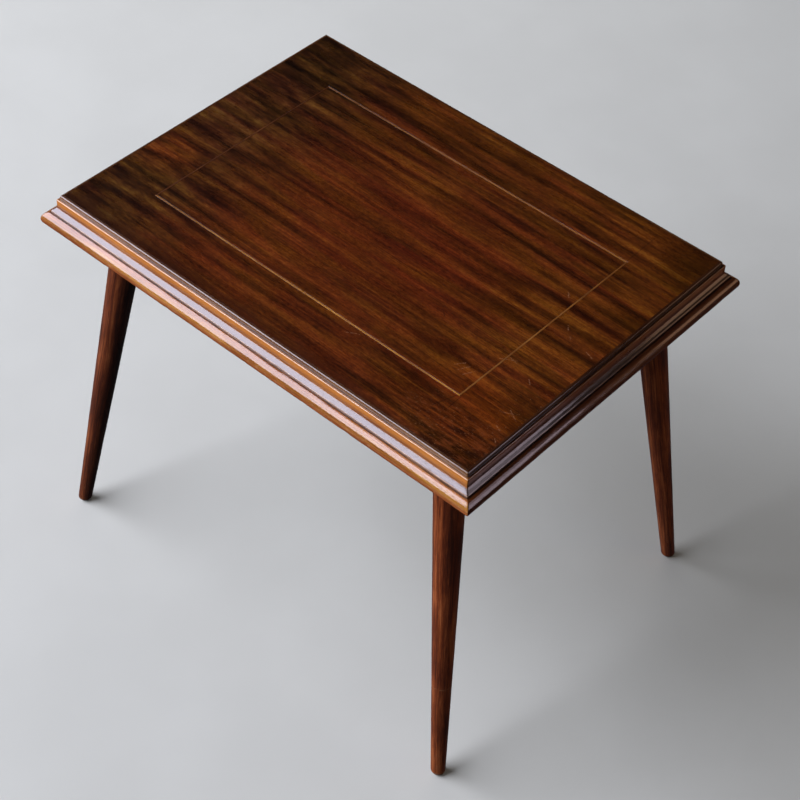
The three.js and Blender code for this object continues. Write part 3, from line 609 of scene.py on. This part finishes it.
def metal(name, base, rough, spots, spot_colour, scale=6.0, brushed=None):
    """Plated metal with duller, darker patches and fine scuffs."""
    t = Tree(name, base, rough=rough, metallic=1.0)
    x, y, z = t.split(t.object_mm())
    cloud = t.noise(t.scaled(x, y, z, scale, scale, scale), detail=4.0, rough=0.65)
    patch = t.fade(cloud, 0.50, 0.66)
    colour = t.mix(t.times(patch, spots), base, spot_colour)
    fine = t.noise(t.scaled(x, y, z, 0.5, 0.5, 0.5, (3, 3, 3)), detail=2.0)
    colour = t.mix(t.fade(fine, 0.3, 0.7, 0.0, 0.18), colour, tuple(c * 0.55 for c in base))
    t.colour(colour)
    scuff = t.noise(t.scaled(x, y, z, *(brushed or (4.0, 0.5, 0.5)), (7, 7, 7)), detail=3.0, rough=0.6)
    t.roughness(t.plus(rough - 0.08, t.times(scuff, 0.16), t.times(patch, 0.18)))
    t.bump(t.plus(t.swing(scuff, 0.5), t.swing(cloud, 0.4)), 0.05, 0.5, coat=False)
    return t.mat


VENEER = veneer_material()
STRING_LONG = string_material("stringing_wood_long", (0.60, 0.275, 0.044), (0.41, 0.160, 0.020), (0.18, 0.058, 0.008), (0.38, 0.16, 0.035), (0.62, 0.60, 0.62), (-60, 120))
STRING_SHORT = string_material("stringing_wood_short", (0.33, 0.130, 0.026), (0.220, 0.075, 0.013), (0.110, 0.032, 0.007), (0.21, 0.08, 0.02), (0.36, 0.28, 0.34), (0, 190))
MOULDING = moulding_material()
LEG = leg_material()
CORE = raw_wood("core_wood", [(0.05, (0.30, 0.18, 0.085)), (0.5, (0.46, 0.31, 0.16)), (0.95, (0.60, 0.45, 0.27))], blocks=24.0)
BACKING = raw_wood("backing_wood", [(0.05, (0.11, 0.050, 0.022)), (0.5, (0.20, 0.100, 0.046)), (0.95, (0.32, 0.18, 0.090))])
STRIP_X = raw_wood("strip_wood_long", [(0.05, (0.19, 0.100, 0.044)), (0.5, (0.32, 0.19, 0.095)), (0.95, (0.46, 0.31, 0.17))])
STRIP_Y = raw_wood("strip_wood_short", [(0.05, (0.19, 0.100, 0.044)), (0.5, (0.32, 0.19, 0.095)), (0.95, (0.46, 0.31, 0.17))], along="y")
PLATE = metal("plate_steel", (0.42, 0.41, 0.39), 0.42, 0.55, (0.20, 0.17, 0.13), scale=9.0)
BOLT = metal("bolt_steel", (0.50, 0.49, 0.46), 0.38, 0.4, (0.25, 0.22, 0.18))
SCREW = metal("screw_steel", (0.56, 0.41, 0.17), 0.36, 0.5, (0.20, 0.12, 0.05), scale=2.2)
GLIDE = metal("glide_steel", (0.60, 0.59, 0.57), 0.30, 0.45, (0.28, 0.26, 0.23), scale=3.0)


def place(ob, material, slot, *replaced):
    ob.data.materials.clear()
    ob.data.materials.append(material)
    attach(ob, "root")
    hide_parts(*replaced)
    return ob


# ----------------------------------------------------------- edge mouldings
BEAD_R = 9.65


def moulding_section():
    """[out, down] from the edge of the flat, round the moulding and its tongue."""
    pts = [(-1.45, 0.0), (-0.7, 0.0)]
    pts += arc(0.0, 1.8, 1.8, 90, 0, 12)
    pts += line((1.8, 1.8), (1.95, 4.98), 4)
    pts += line((1.95, 4.98), (2.07, 5.2), 1)
    pts += line((2.07, 5.2), (3.85, 5.2), 3)
    pts += arc(3.85, 6.15, 0.95, 90, 0, 8)[1:]
    pts += line((4.8, 6.15), (4.9, 14.7), 7)
    for a in np.radians(np.linspace(0, 35, 8)[1:]):          # the cove is tight at its top
        pts.append((7.9 - 3.0 * math.cos(a), 14.7 + 3.0 * math.sin(a)))
    for a in np.radians(np.linspace(35, 59.4, 10)[1:]):      # and shallow below
        pts.append((15.68 - 12.5 * math.cos(a), 9.25 + 12.5 * math.sin(a)))
    pts += arc(8.51, 21.4, 1.56, 56, -48, 10)
    cx, cy = BEAD_OUT - BEAD_R, MOULD_H - BEAD_R
    pts += arc(cx, cy, BEAD_R, 85.6, -90, 56)
    pts += line((cx, MOULD_H), (-1.45, MOULD_H), 5)
    t0 = HEIGHT - Z_TONGUE - TONGUE_H / 2
    t1 = t0 + TONGUE_H
    pts += line((-1.45, MOULD_H), (-1.45, t1), 5)
    pts += [(-JOINT_IN - TONGUE_L, t1), (-JOINT_IN - TONGUE_L, t0), (-1.45, t0)]
    return np.array(pts)


def moulding(name, turn, half, away, seed):
    sec = moulding_section()
    n = len(sec)
    out, down = sec[:, 0], sec[:, 1]
    # outward normal of the section
    nxt, prv = np.roll(sec, -1, 0), np.roll(sec, 1, 0)
    tan = nxt - prv
    tan /= np.maximum(np.linalg.norm(tan, axis=1, keepdims=True), 1e-9)
    nor = np.stack([tan[:, 1], -tan[:, 0]], 1)
    bead_angle = np.degrees(np.arctan2(-(down - (MOULD_H - BEAD_R)), out - (BEAD_OUT - BEAD_R)))
    on_bead = (down > 23.2) & (out > 8.0) & (down < 42.01)
    under = np.clip((down - 37.0) / 4.0, 0, 1) * (out > 6)
    step = np.exp(-(((out - 4.7) / 0.9) ** 2 + ((down - 5.6) / 0.9) ** 2))
    lip = np.exp(-(((out - 9.9) / 0.7) ** 2 + ((down - 20.8) / 0.8) ** 2))
    round_r = np.clip(out / 2.0, 0, 1) * 1.15
    k = max(40, int(half / 2.6))
    ts = np.linspace(-1, 1, 2 * k + 1)
    stations = [("end", -1, a) for a in np.linspace(45, 7, 6)]
    stations += [("run", t, 0) for t in ts]
    stations += [("end", 1, a) for a in np.linspace(7, 45, 6)]
    rng = np.random.default_rng(seed)
    chips = [(rng.uniform(-half, half), rng.uniform(-80, 20), rng.uniform(0.16, 0.5), rng.uniform(1.2, 4.2), rng.uniform(6, 14)) for _ in range(int(half / 7))]
    verts, grain = [], []
    for kind, t, ang in stations:
        a = math.radians(ang)
        if kind == "run":
            x = t * (half + out - round_r - 0.05)
            o = out.copy()
        else:
            x = t * (half + out - round_r + round_r * math.sin(a) - 0.05)
            o = out - round_r * (1 - math.cos(a))
        # wear: a slow unevenness of the bead, a rougher underside, softened noses and a few dents
        ease = np.clip((half + out - np.abs(x)) / 6.0, 0, 1)
        wear = on_bead * (0.07 + 0.06 * sway(x, seed, (35, 130)))
        wear = wear + under * (0.16 + 0.14 * sway(x, seed + 1, (5, 21), 8))
        wear = wear + step * (0.10 + 0.08 * sway(x, seed + 2, (12, 60)))
        wear = wear + lip * (0.07 + 0.06 * sway(x, seed + 3, (9, 40)))
        for cx, ca, depth, wid, spread in chips:
            wear = wear + on_bead * depth * np.exp(-(((x - cx) / wid) ** 2) - (((bead_angle - ca) / spread) ** 2))
        wear = np.maximum(wear, 0) * (0.35 + 0.65 * ease)
        o = o - nor[:, 0] * wear
        dn = down - nor[:, 1] * wear
        verts.append(np.stack([x, -(away + o), HEIGHT - dn], 1))
        grain.append(np.stack([x + seed * 700.0, out, down], 1))
    verts = np.concatenate(verts)
    grain = np.concatenate(grain)
    c, s = math.cos(math.radians(turn)), math.sin(math.radians(turn))
    world = np.stack([verts[:, 0] * c - verts[:, 1] * s, verts[:, 0] * s + verts[:, 1] * c, verts[:, 2]], 1)
    ob = build(f"{name}_fine", world, skin(len(stations), n), 38, grain)
    return place(ob, MOULDING, "moulding_wood", name)


for name, turn, half, away, seed in [
    ("edge_moulding_front", 0, HALF_X, HALF_Y, 1),
    ("edge_moulding_right", 90, HALF_Y, HALF_X, 2),
    ("edge_moulding_back", 180, HALF_X, HALF_Y, 3),
    ("edge_moulding_left", 270, HALF_Y, HALF_X, 4),
]:
    moulding(name, turn, half, away, seed)


# --------------------------------------------- face veneer and the inlaid line
zt, zb, v = HEIGHT, HEIGHT - VENEER_T, 0.12
fx, fy = STRING_X - STRING_W / 2 - 0.05, STRING_Y - STRING_W / 2 - 0.05
verts = []
for hx, hy, z in [(fx, fy, zb), (fx, fy, zt - v), (fx - v, fy - v, zt)]:
    verts += [(-hx, -hy, z), (hx, -hy, z), (hx, hy, z), (-hx, hy, z)]
place(build("face_veneer_field_fine", verts, skin(3, 4), 20), VENEER, "mahogany_veneer", "face_veneer_field")

ix, iy = STRING_X + STRING_W / 2 + 0.05, STRING_Y + STRING_W / 2 + 0.05
ex, ey = HALF_X - JOINT_IN, HALF_Y - JOINT_IN
verts = []
for hx, hy, z in [
    (ix, iy, zb), (ix, iy, zt - v), (ix + v, iy + v, zt), (ex - v * 0.6, ey - v * 0.6, zt), (ex, ey, zt - v * 0.6), (ex, ey, zb),
]:
    verts += [(-hx, -hy, z), (hx, -hy, z), (hx, hy, z), (-hx, hy, z)]
place(build("face_veneer_border_fine", verts, skin(6, 4, loop=True), 20), VENEER, "mahogany_veneer", "face_veneer_border")


def stringing(name, turn, half, away, seed):
    """One strip: a thin bar with eased edges, mitred at both ends, laid a hair uneven."""
    w = STRING_W / 2
    e = 0.16
    sec = [(-w, zb), (-w, zt - e), (-w + e * 0.4, zt - e * 0.3), (-w + e, zt), (0, zt), (w - e, zt), (w - e * 0.4, zt - e * 0.3), (w, zt - e), (w, zb)]
    steps = 90
    verts, grain = [], []
    for i in range(steps + 1):
        t = -1 + 2 * i / steps
        for a, z in sec:
            x = t * (half + a - 0.02)   # a is outwards, so the outer edge is the longer one
            dz = -0.03 + 0.03 * math.sin(x / 23.0 + seed) * math.sin(x / 9.1 + seed * 2.3) if z > zb else 0.0
            verts.append((x, -(away + a), z + min(dz, 0.0)))
            grain.append((x + seed * 900.0, a, z - zb))
    verts = np.array(verts)
    c, s = math.cos(math.radians(turn)), math.sin(math.radians(turn))
    world = np.stack([verts[:, 0] * c - verts[:, 1] * s, verts[:, 0] * s + verts[:, 1] * c, verts[:, 2]], 1)
    ob = build(f"{name}_fine", world, skin(steps + 1, len(sec)), 40, grain)
    return place(ob, STRING_LONG if turn % 180 == 0 else STRING_SHORT, "stringing_wood", name)


for name, turn, half, away, seed in [
    ("stringing_front", 0, STRING_X, STRING_Y, 1), ("stringing_right", 90, STRING_Y, STRING_X, 2),
    ("stringing_back", 180, STRING_X, STRING_Y, 3), ("stringing_left", 270, STRING_Y, STRING_X, 4),
]:
    stringing(name, turn, half, away, seed)


# -------------------------------------------------------------------- legs
def basis(up):
    u = np.array([1.0, 0, 0])
    u -= up * up[0]
    u /= np.linalg.norm(u)
    return u, np.cross(up, u)


def leg(corner, sx, sy, seed):
    top = LEG_TOP * (sx, sy, 1)
    foot = LEG_FOOT * (sx, sy, 1)
    up = (top - foot) / LEG_LEN
    u, w = basis(up)
    n = 96
    ang = np.linspace(0, 2 * np.pi, n, endpoint=False)
    spoke = np.outer(np.cos(ang), u) + np.outer(np.sin(ang), w)
    slope = (LEG_R_TOP - LEG_R_FOOT) / LEG_LEN
    rings, along = [], []

    def ring(s, r):
        s = np.broadcast_to(np.asarray(s, float), (n,))
        r = np.broadcast_to(np.asarray(r, float), (n,))
        rings.append(top - np.outer(s, up) + spoke * r[:, None])
        along.append(s)

    # inside of the bore, then the top face and its eased edge
    ring(BORE_L, 0.8)
    ring(BORE_L, BORE_R)
    ring(1.0, BORE_R)
    ring(0.0, BORE_R + 0.8)
    ring(0.0, LEG_R_TOP - 1.3)
    for a in (25, 50, 75):
        ring(1.2 - 1.2 * math.cos(math.radians(a)), LEG_R_TOP - 1.3 + 1.2 * math.sin(math.radians(a)))
    # the taper, very slightly uneven as hand-sanded turning is
    far = LEG_LEN - 34.0
    for s in np.linspace(2.0, far, 74):
        wob = 0.06 * math.sin(s / 37.0 + seed) + 0.04 * math.sin(s / 13.0 + seed * 2.0)
        lean = 0.05 * np.sin(2 * ang + s / 90.0 + seed)
        ring(s, LEG_R_TOP - slope * s - 0.08 + min(wob, 0.05) + lean * 0.5 - 0.03)

    # level cut at the foot: rings turn from square to the axis to level
    q = spoke[:, 2]

    def level(z):
        return (top[2] + LEG_R_TOP * q - z) / (up[2] + slope * q)

    for b in np.linspace(0.14, 1.0, 8):
        s = (1 - b) * np.full(n, far + 3.0 + 20.0 * b) + b * level(11.5)
        ring(s, LEG_R_TOP - slope * s - 0.06)
    for z in (9.0, 7.2, 6.0, 5.2):
        s = level(z)
        ring(s, LEG_R_TOP - slope * s - 0.06)
    cut = top + (foot - top) * ((top[2] - CUT_AT) / top[2])
    for z, inset in ((4.65, 0.12), (4.15, 0.38), (3.72, 0.80), (3.42, 1.30), (3.30, 1.85)):
        s = level(z)
        p = top - np.outer(s, up) + spoke * (LEG_R_TOP - slope * s - 0.06)[:, None]
        mid = top + (foot - top) * ((top[2] - z) / top[2])
        d = p - mid
        d[:, 2] = 0
        length = np.linalg.norm(d, axis=1, keepdims=True)
        p = mid + d * (1 - inset / length)
        p[:, 2] = z
        rings.append(p)
        along.append(s)
    # underside, and the hole for the glide's pin
    way = 1 if np.cross(spoke[0], spoke[1])[2] > 0 else -1
    level_ang = ang * way + math.atan2(spoke[0][1], spoke[0][0])
    flat = np.stack([np.cos(level_ang), np.sin(level_ang), np.zeros(n)], 1)
    for r, z in ((1.6, CUT_AT), (1.4, CUT_AT + 0.3), (1.4, 16.6), (0.2, 16.6)):
        rings.append(np.array([cut[0], cut[1], z]) + flat * r)
        along.append(np.full(n, LEG_LEN - z))
    verts = np.concatenate(rings)
    rel = verts - top
    grain = np.stack([np.concatenate(along) * 1.0, rel @ u + seed * 60.0, rel @ w + seed * 35.0], 1)
    ob = build(f"leg_{corner}_fine", verts, skin(len(rings), n), 40, grain)
    return place(ob, LEG, "leg_wood", f"leg_{corner}")


for i, (corner, (sx, sy)) in enumerate(CORNERS.items()):
    leg(corner, sx, sy, i + 1)


# ------------------------------------------------- plates, screws and glides
def cut_with(ob, cutters):
    """Boolean difference, applied."""
    for c in cutters:
        m = ob.modifiers.new("cut", "BOOLEAN")
        m.operation, m.solver, m.object = "DIFFERENCE", "EXACT", c
    dg = bpy.context.evaluated_depsgraph_get()
    me = bpy.data.meshes.new_from_object(ob.evaluated_get(dg))
    ob.modifiers.clear()
    old = ob.data
    ob.data = me
    me.name = old.name + "_cut"
    bpy.data.meshes.remove(old)
    for c in cutters:
        data = c.data
        bpy.data.objects.remove(c)
        bpy.data.meshes.remove(data)
    return ob


def lathe_points(profile, centre, n):
    ang = np.linspace(0, 2 * np.pi, n, endpoint=False)
    rings = [np.stack([centre[0] + r * np.cos(ang), centre[1] + r * np.sin(ang), np.full(n, centre[2] + z)], 1) for r, z in profile]
    return np.concatenate(rings), skin(len(profile), n)


def rounded_square(a, half, c):
    """Distance from the middle to the outline of a square with corner radius c, in direction a."""
    ca, sa = abs(math.cos(a)), abs(math.sin(a))
    lo, hi = 0.0, half * 2
    for _ in range(40):
        mid = (lo + hi) / 2
        qx, qy = mid * ca - (half - c), mid * sa - (half - c)
        d = math.hypot(max(qx, 0), max(qy, 0)) + min(max(qx, qy), 0) - c
        lo, hi = (mid, hi) if d < 0 else (lo, mid)
    return lo


SPOTS = []
for name, (sx, sy) in CORNERS.items():
    for i, (a, b) in enumerate([(-1, -1), (1, -1), (1, 1), (-1, 1)]):
        SPOTS.append((f"leg_plate_screw_{name}_{i + 1}", sx * PLATE_AT[0] + a * 22.5, sy * PLATE_AT[1] + b * 22.5))


def plate(corner, sx, sy):
    top = LEG_TOP * (sx, sy, 1)
    foot = LEG_FOOT * (sx, sy, 1)
    up = (top - foot) / LEG_LEN
    u, w = basis(up)
    n = 144
    ang = np.linspace(0, 2 * np.pi, n, endpoint=False)
    tilt = np.outer(np.cos(ang), u) + np.outer(np.sin(ang), w)
    flat = np.stack([np.cos(ang), np.sin(ang), np.zeros(n)], 1)
    mid = np.array([sx * PLATE_AT[0], sy * PLATE_AT[1], 0.0])
    rings = []
    on_pad = lambda r, lift: rings.append(top + up * lift + tilt * r)
    on_flange = lambda r, z: rings.append(mid + np.array([0, 0, z]) + flat * r)
    square = lambda half, c, z: rings.append(mid + np.array([0, 0, z]) + flat * np.array([rounded_square(a, half, c) for a in ang])[:, None])

    def between(p, q, ts):
        for t in ts:
            rings.append(p * (1 - t) + q * t)

    # underneath: pad round the bolt, its eased edge, the dished wall, and the flange
    on_pad(4.35, 0.55)
    on_pad(4.6, 0.32)
    on_pad(11.0, 0.30)
    on_pad(17.6, 0.30)
    on_pad(18.7, 0.42)
    on_pad(19.4, 0.80)
    on_pad(19.9, 1.45)
    wall0 = rings[-1]
    wall1 = mid + np.array([0, 0, Z_PLATE_BOT - 0.9]) + flat * 22.3
    between(wall0, wall1, (0.35, 0.7, 1.0))
    on_flange(22.7, Z_PLATE_BOT - 0.35)
    on_flange(23.4, Z_PLATE_BOT - 0.05)
    on_flange(24.1, Z_PLATE_BOT)
    square(26.2, 4.0, Z_PLATE_BOT)
    square(27.5, 4.7, Z_PLATE_BOT)
    square(27.88, 4.95, Z_PLATE_BOT + 0.12)
    square(28.0, 5.0, Z_PLATE_BOT + 0.5)
    square(28.0, 5.0, Z_PLATE_TOP - 0.4)
    square(27.88, 4.95, Z_PLATE_TOP - 0.1)
    square(27.6, 4.8, Z_PLATE_TOP)
    square(25.6, 3.6, Z_PLATE_TOP)
    on_flange(22.3, Z_PLATE_TOP)
    on_flange(21.2, Z_PLATE_TOP - 0.35)
    on_flange(20.6, Z_PLATE_TOP - 1.1)
    d0 = rings[-1]
    d1 = top + up * 3.3 + tilt * 17.6
    between(d0, d1, (0.5, 1.0))
    on_pad(16.6, 2.85)
    on_pad(11.0, 2.80)
    on_pad(4.6, 2.80)
    on_pad(4.35, 2.6)
    ob = build(f"leg_plate_{corner}_fine", np.concatenate(rings), skin(len(rings), n, loop=True), 30)
    cutters = []
    for name, x, y in SPOTS:
        if name.startswith(f"leg_plate_screw_{corner}_"):
            pts, faces = lathe_points([(0.01, -8), (2.3, -8), (2.3, 8), (0.01, 8)], (x, y, Z_PLATE_BOT), 32)
            cutters.append(build("cutter", pts, faces))
    cut_with(ob, cutters)
    tidy(ob.data, 30)
    return place(ob, PLATE, "plate_steel", f"leg_plate_{corner}")


for corner, (sx, sy) in CORNERS.items():
    plate(corner, sx, sy)

# one round-head slotted screw, head down, then a copy at each hole
profile = [(0.01, -2.62), (0.9, -2.56), (1.7, -2.34), (2.4, -1.97), (3.0, -1.5), (3.45, -0.97), (3.72, -0.45), (3.8, -0.12), (3.7, 0.0), (1.75, 0.0)]
for i in range(22):
    z = 0.6 + i * 0.5
    profile.append((1.75 if i % 2 else 1.5, z))
profile += [(1.2, 12.4), (0.5, 14.4), (0.01, 15.0)]
pts, faces = lathe_points(profile, (0, 0, 0), 40)
master = build("screw_master", pts, faces, 35)
slot_bar = build("cutter", [(-5, -0.5, -5), (5, -0.5, -5), (5, 0.5, -5), (-5, 0.5, -5), (-5, -0.46, -1.35), (5, -0.46, -1.35), (5, 0.46, -1.35), (-5, 0.46, -1.35)], skin(2, 4))
cut_with(master, [slot_bar])
tidy(master.data, 35)
for i, (name, x, y) in enumerate(SPOTS):
    me = master.data.copy()
    me.transform(Matrix.Translation(Vector((x, y, Z_PLATE_BOT - 0.3)) * MM) @ Matrix.Rotation((i * 2.39996) % math.pi, 4, "Z"))
    me.name = f"{name}_fine"
    ob = bpy.data.objects.new(f"{name}_fine", me)
    scene.collection.objects.link(ob)
    place(ob, SCREW, "screw_steel", name)
data = master.data
bpy.data.objects.remove(master)
bpy.data.meshes.remove(data)

for corner, (sx, sy) in CORNERS.items():
    f = LEG_FOOT * (sx, sy, 1)
    tp = LEG_TOP * (sx, sy, 1)
    c = tp + (f - tp) * ((tp[2] - CUT_AT) / tp[2])
    prof = [(0.01, 0.0), (3.0, 0.0), (4.6, 0.0), (5.2, 0.16), (5.7, 0.55), (6.05, 1.1), (6.18, 1.7), (6.2, 2.3), (6.12, 2.7), (5.85, 2.98),
            (1.1, 3.0), (1.1, 13.4), (0.5, 15.2), (0.01, 16.0)]
    pts, faces = lathe_points(prof, (c[0], c[1], 0.0), 56)
    place(build(f"foot_glide_{corner}_fine", pts, faces, 40), GLIDE, "glide_steel", f"foot_glide_{corner}")


# ------------------------------------------------- frame pieces that stay
def finish_node(name, material, bevel=0.0):
    ob = nodes[name]
    ob.data.materials.clear()
    ob.data.materials.append(material)
    if bevel:
        w = ob.modifiers.new("weld", "WELD")
        w.merge_threshold = 1e-6
        b = ob.modifiers.new("bevel", "BEVEL")
        b.width, b.segments, b.limit_method, b.angle_limit = bevel * MM, 2, "ANGLE", math.radians(40)
        b.harden_normals = False


finish_node("core_board", CORE)
finish_node("backing_veneer", BACKING)
finish_node("thickening_strip_front", STRIP_X, 0.7)
finish_node("thickening_strip_back", STRIP_X, 0.7)
finish_node("thickening_strip_left", STRIP_Y, 0.7)
finish_node("thickening_strip_right", STRIP_Y, 0.7)
for corner in CORNERS:
    finish_node(f"hanger_bolt_{corner}", BOLT)


# --------------------------------------------------------- floor and light
PALE = (0.42, 0.43, 0.445)


def floor():
    """Pale floor. Past a few metres it glows evenly in the backdrop's tone, so that no horizon shows."""
    s = 16.0
    me = bpy.data.meshes.new("floor")
    me.from_pydata([(-s, -s, -0.0001), (s, -s, -0.0001), (s, s, -0.0001), (-s, s, -0.0001)], [], [(0, 1, 2, 3)])
    ob = bpy.data.objects.new("floor", me)
    scene.collection.objects.link(ob)
    t = Tree("floor_grey", (0.575, 0.558, 0.512), rough=0.8, spec=0.1)
    x, y, z = t.split(t.object_mm())
    away = t.math("SQRT", t.plus(t.times(x, x), t.times(y, y)))
    far = t.fade(away, 900, 3200)
    soft = t.noise(t.scaled(x, y, None, 190, 190, 1), detail=3.0)
    near = t.mix(t.fade(soft, 0.3, 0.7, 0.0, 1.0), (0.565, 0.548, 0.502), (0.590, 0.573, 0.526))
    t.colour(t.mix(far, near, (0.0, 0.0, 0.0)))
    t.bsdf.inputs["Emission Color"].default_value = (*PALE, 1)
    t.put(t.bsdf.inputs["Emission Strength"], far)
    me.materials.append(t.mat)
    ob.visible_diffuse = False
    ob.visible_glossy = False


def backdrop():
    """A plain pale surround that only the camera sees, so the light comes from the lamps and the world alone."""
    me = bpy.data.meshes.new("backdrop")
    bm = bmesh.new()
    bmesh.ops.create_uvsphere(bm, u_segments=48, v_segments=24, radius=24.0)
    bm.to_mesh(me)
    bm.free()
    me.shade_smooth()
    ob = bpy.data.objects.new("backdrop", me)
    scene.collection.objects.link(ob)
    mat = bpy.data.materials.new("backdrop_pale")
    mat.use_nodes = True
    nt = mat.node_tree
    nt.nodes.clear()
    out = nt.nodes.new("ShaderNodeOutputMaterial")
    glow = nt.nodes.new("ShaderNodeEmission")
    glow.inputs["Color"].default_value = (*PALE, 1)
    nt.links.new(glow.outputs[0], out.inputs[0])
    me.materials.append(mat)
    for flag in ("diffuse", "glossy", "transmission", "volume_scatter", "shadow"):
        setattr(ob, f"visible_{flag}", False)


def soft_light(name, direction, distance, width, height, radiance, colour, roll=0.0, target=(0.0, 0.0, 0.40), diffuse=True, glossy=True):
    """Rectangular light as seen from target: direction (azimuth, elevation in degrees), its size in metres, and how bright it looks."""
    az, el = math.radians(direction[0]), math.radians(direction[1])
    d = Vector((math.cos(az) * math.cos(el), math.sin(az) * math.cos(el), math.sin(el)))
    data = bpy.data.lights.new(name, "AREA")
    data.shape = "RECTANGLE"
    data.size, data.size_y = width, height
    data.energy = radiance * math.pi * width * height
    data.color = colour
    ob = bpy.data.objects.new(name, data)
    ob.location = Vector(target) + d * distance
    ob.rotation_mode = "QUATERNION"
    ob.rotation_quaternion = (-d).to_track_quat("-Z", "Y") @ Quaternion((0, 0, 1), math.radians(roll))
    ob.visible_camera = False
    ob.visible_diffuse = diffuse
    ob.visible_glossy = glossy
    scene.collection.objects.link(ob)
    return ob


def sky(stops):
    """World light by height alone: stops of (sine of the elevation, colour)."""
    w = bpy.data.worlds.new("studio")
    w.use_nodes = True
    nt = w.node_tree
    nt.nodes.clear()
    out = nt.nodes.new("ShaderNodeOutputWorld")
    bg = nt.nodes.new("ShaderNodeBackground")
    co = nt.nodes.new("ShaderNodeTexCoord")
    sep = nt.nodes.new("ShaderNodeSeparateXYZ")
    half = nt.nodes.new("ShaderNodeMath")
    half.operation = "MULTIPLY_ADD"
    half.inputs[1].default_value = half.inputs[2].default_value = 0.5
    ramp = nt.nodes.new("ShaderNodeValToRGB")
    ramp.color_ramp.interpolation = "EASE"
    e = ramp.color_ramp.elements
    while len(e) < len(stops):
        e.new(0.5)
    for el, (at, col) in zip(e, stops):
        el.position = (at + 1) / 2
        el.color = (*col, 1)
    nt.links.new(co.outputs["Generated"], sep.inputs[0])
    nt.links.new(sep.outputs[2], half.inputs[0])
    nt.links.new(half.outputs[0], ramp.inputs[0])
    nt.links.new(ramp.outputs[0], bg.inputs[0])
    nt.links.new(bg.outputs[0], out.inputs[0])
    scene.world = w


floor()
backdrop()
# the window: what the lacquer reflects stands near, what lights the wood stands far, so the light is even
soft_light("window", (-140, 33), 2.0, 2.2, 2.05, 7.5, (0.87, 0.865, 1.02), roll=20, diffuse=False)
soft_light("window_far", (-140, 34), 5.0, 5.5, 4.75, 7.2, (0.82, 0.87, 1.0), roll=20, glossy=False)
soft_light("low_fill", (-118, 5), 3.0, 2.0, 0.8, 1.8, (0.95, 0.95, 1.0), glossy=False)
side_fill = soft_light("side_fill", (24, 4), 2.4, 1.2, 1.0, 1.6, (1.0, 0.78, 0.46), glossy=False)
# it lights the moulding's dark side and leaves the left-hand legs in shade
side_lit = bpy.data.collections.new("side_fill_receivers")
for ob in scene.objects:
    if ob.type == "MESH" and not (ob.name.startswith("leg_") and "_left" in ob.name):
        side_lit.objects.link(ob)
side_fill.light_linking.receiver_collection = side_lit
soft_light("back_fill", (137, 16), 2.6, 2.6, 1.1, 1.8, (0.95, 0.97, 1.0), glossy=False)
# strips that only show as reflections in the moulding's dark side
soft_light("far_strip", (31.2, 9), 3.1, 0.56, 2.0, 2.5, (1.0, 0.82, 0.96), roll=-15, target=(0.309, -0.100, 0.46), diffuse=False)
soft_light("far_top", (39.1, 36), 3.1, 0.44, 0.80, 1.6, (1.0, 0.82, 0.94), roll=-30, target=(0.309, -0.100, 0.46), diffuse=False)
soft_light("warm_strip", (45.6, 14), 3.1, 0.68, 1.45, 1.45, (1.0, 0.54, 0.31), roll=-12, target=(0.309, 0.209, 0.46), diffuse=False)
sky([(-1.0, (0.014, 0.015, 0.017)), (-0.06, (0.020, 0.018, 0.019)), (0.06, (0.038, 0.034, 0.035)), (0.45, (0.010, 0.011, 0.014))])
scene.view_settings.view_transform = "Standard"
scene.view_settings.look = "None"
scene.view_settings.exposure = 0.0
scene.view_settings.gamma = 1.0

# ------------------------------------------------------------------ camera
rot = Vector((2.2298287750677166, 0.8725603802863343, -0.3006969701810753))
shift = Vector((-0.03157083400856953, 0.1583855290527019, 2.4521591512750573))
m = Matrix.Rotation(rot.length, 3, rot.normalized())
where = -(m.transposed() @ shift)
cam_data = bpy.data.cameras.new("camera")
cam_data.sensor_width = 36.0
cam_data.sensor_fit = "HORIZONTAL"
cam_data.lens = 36.0 * 1944.5222673660496 / 800.0
cam_data.clip_start, cam_data.clip_end = 0.05, 60.0
cam = bpy.data.objects.new("camera", cam_data)
axes = Matrix((m[0], -m[1], -m[2])).transposed()
cam.matrix_world = Matrix.Translation(where) @ axes.to_4x4()
scene.collection.objects.link(cam)
scene.camera = cam

bpy.context.view_layer.update()
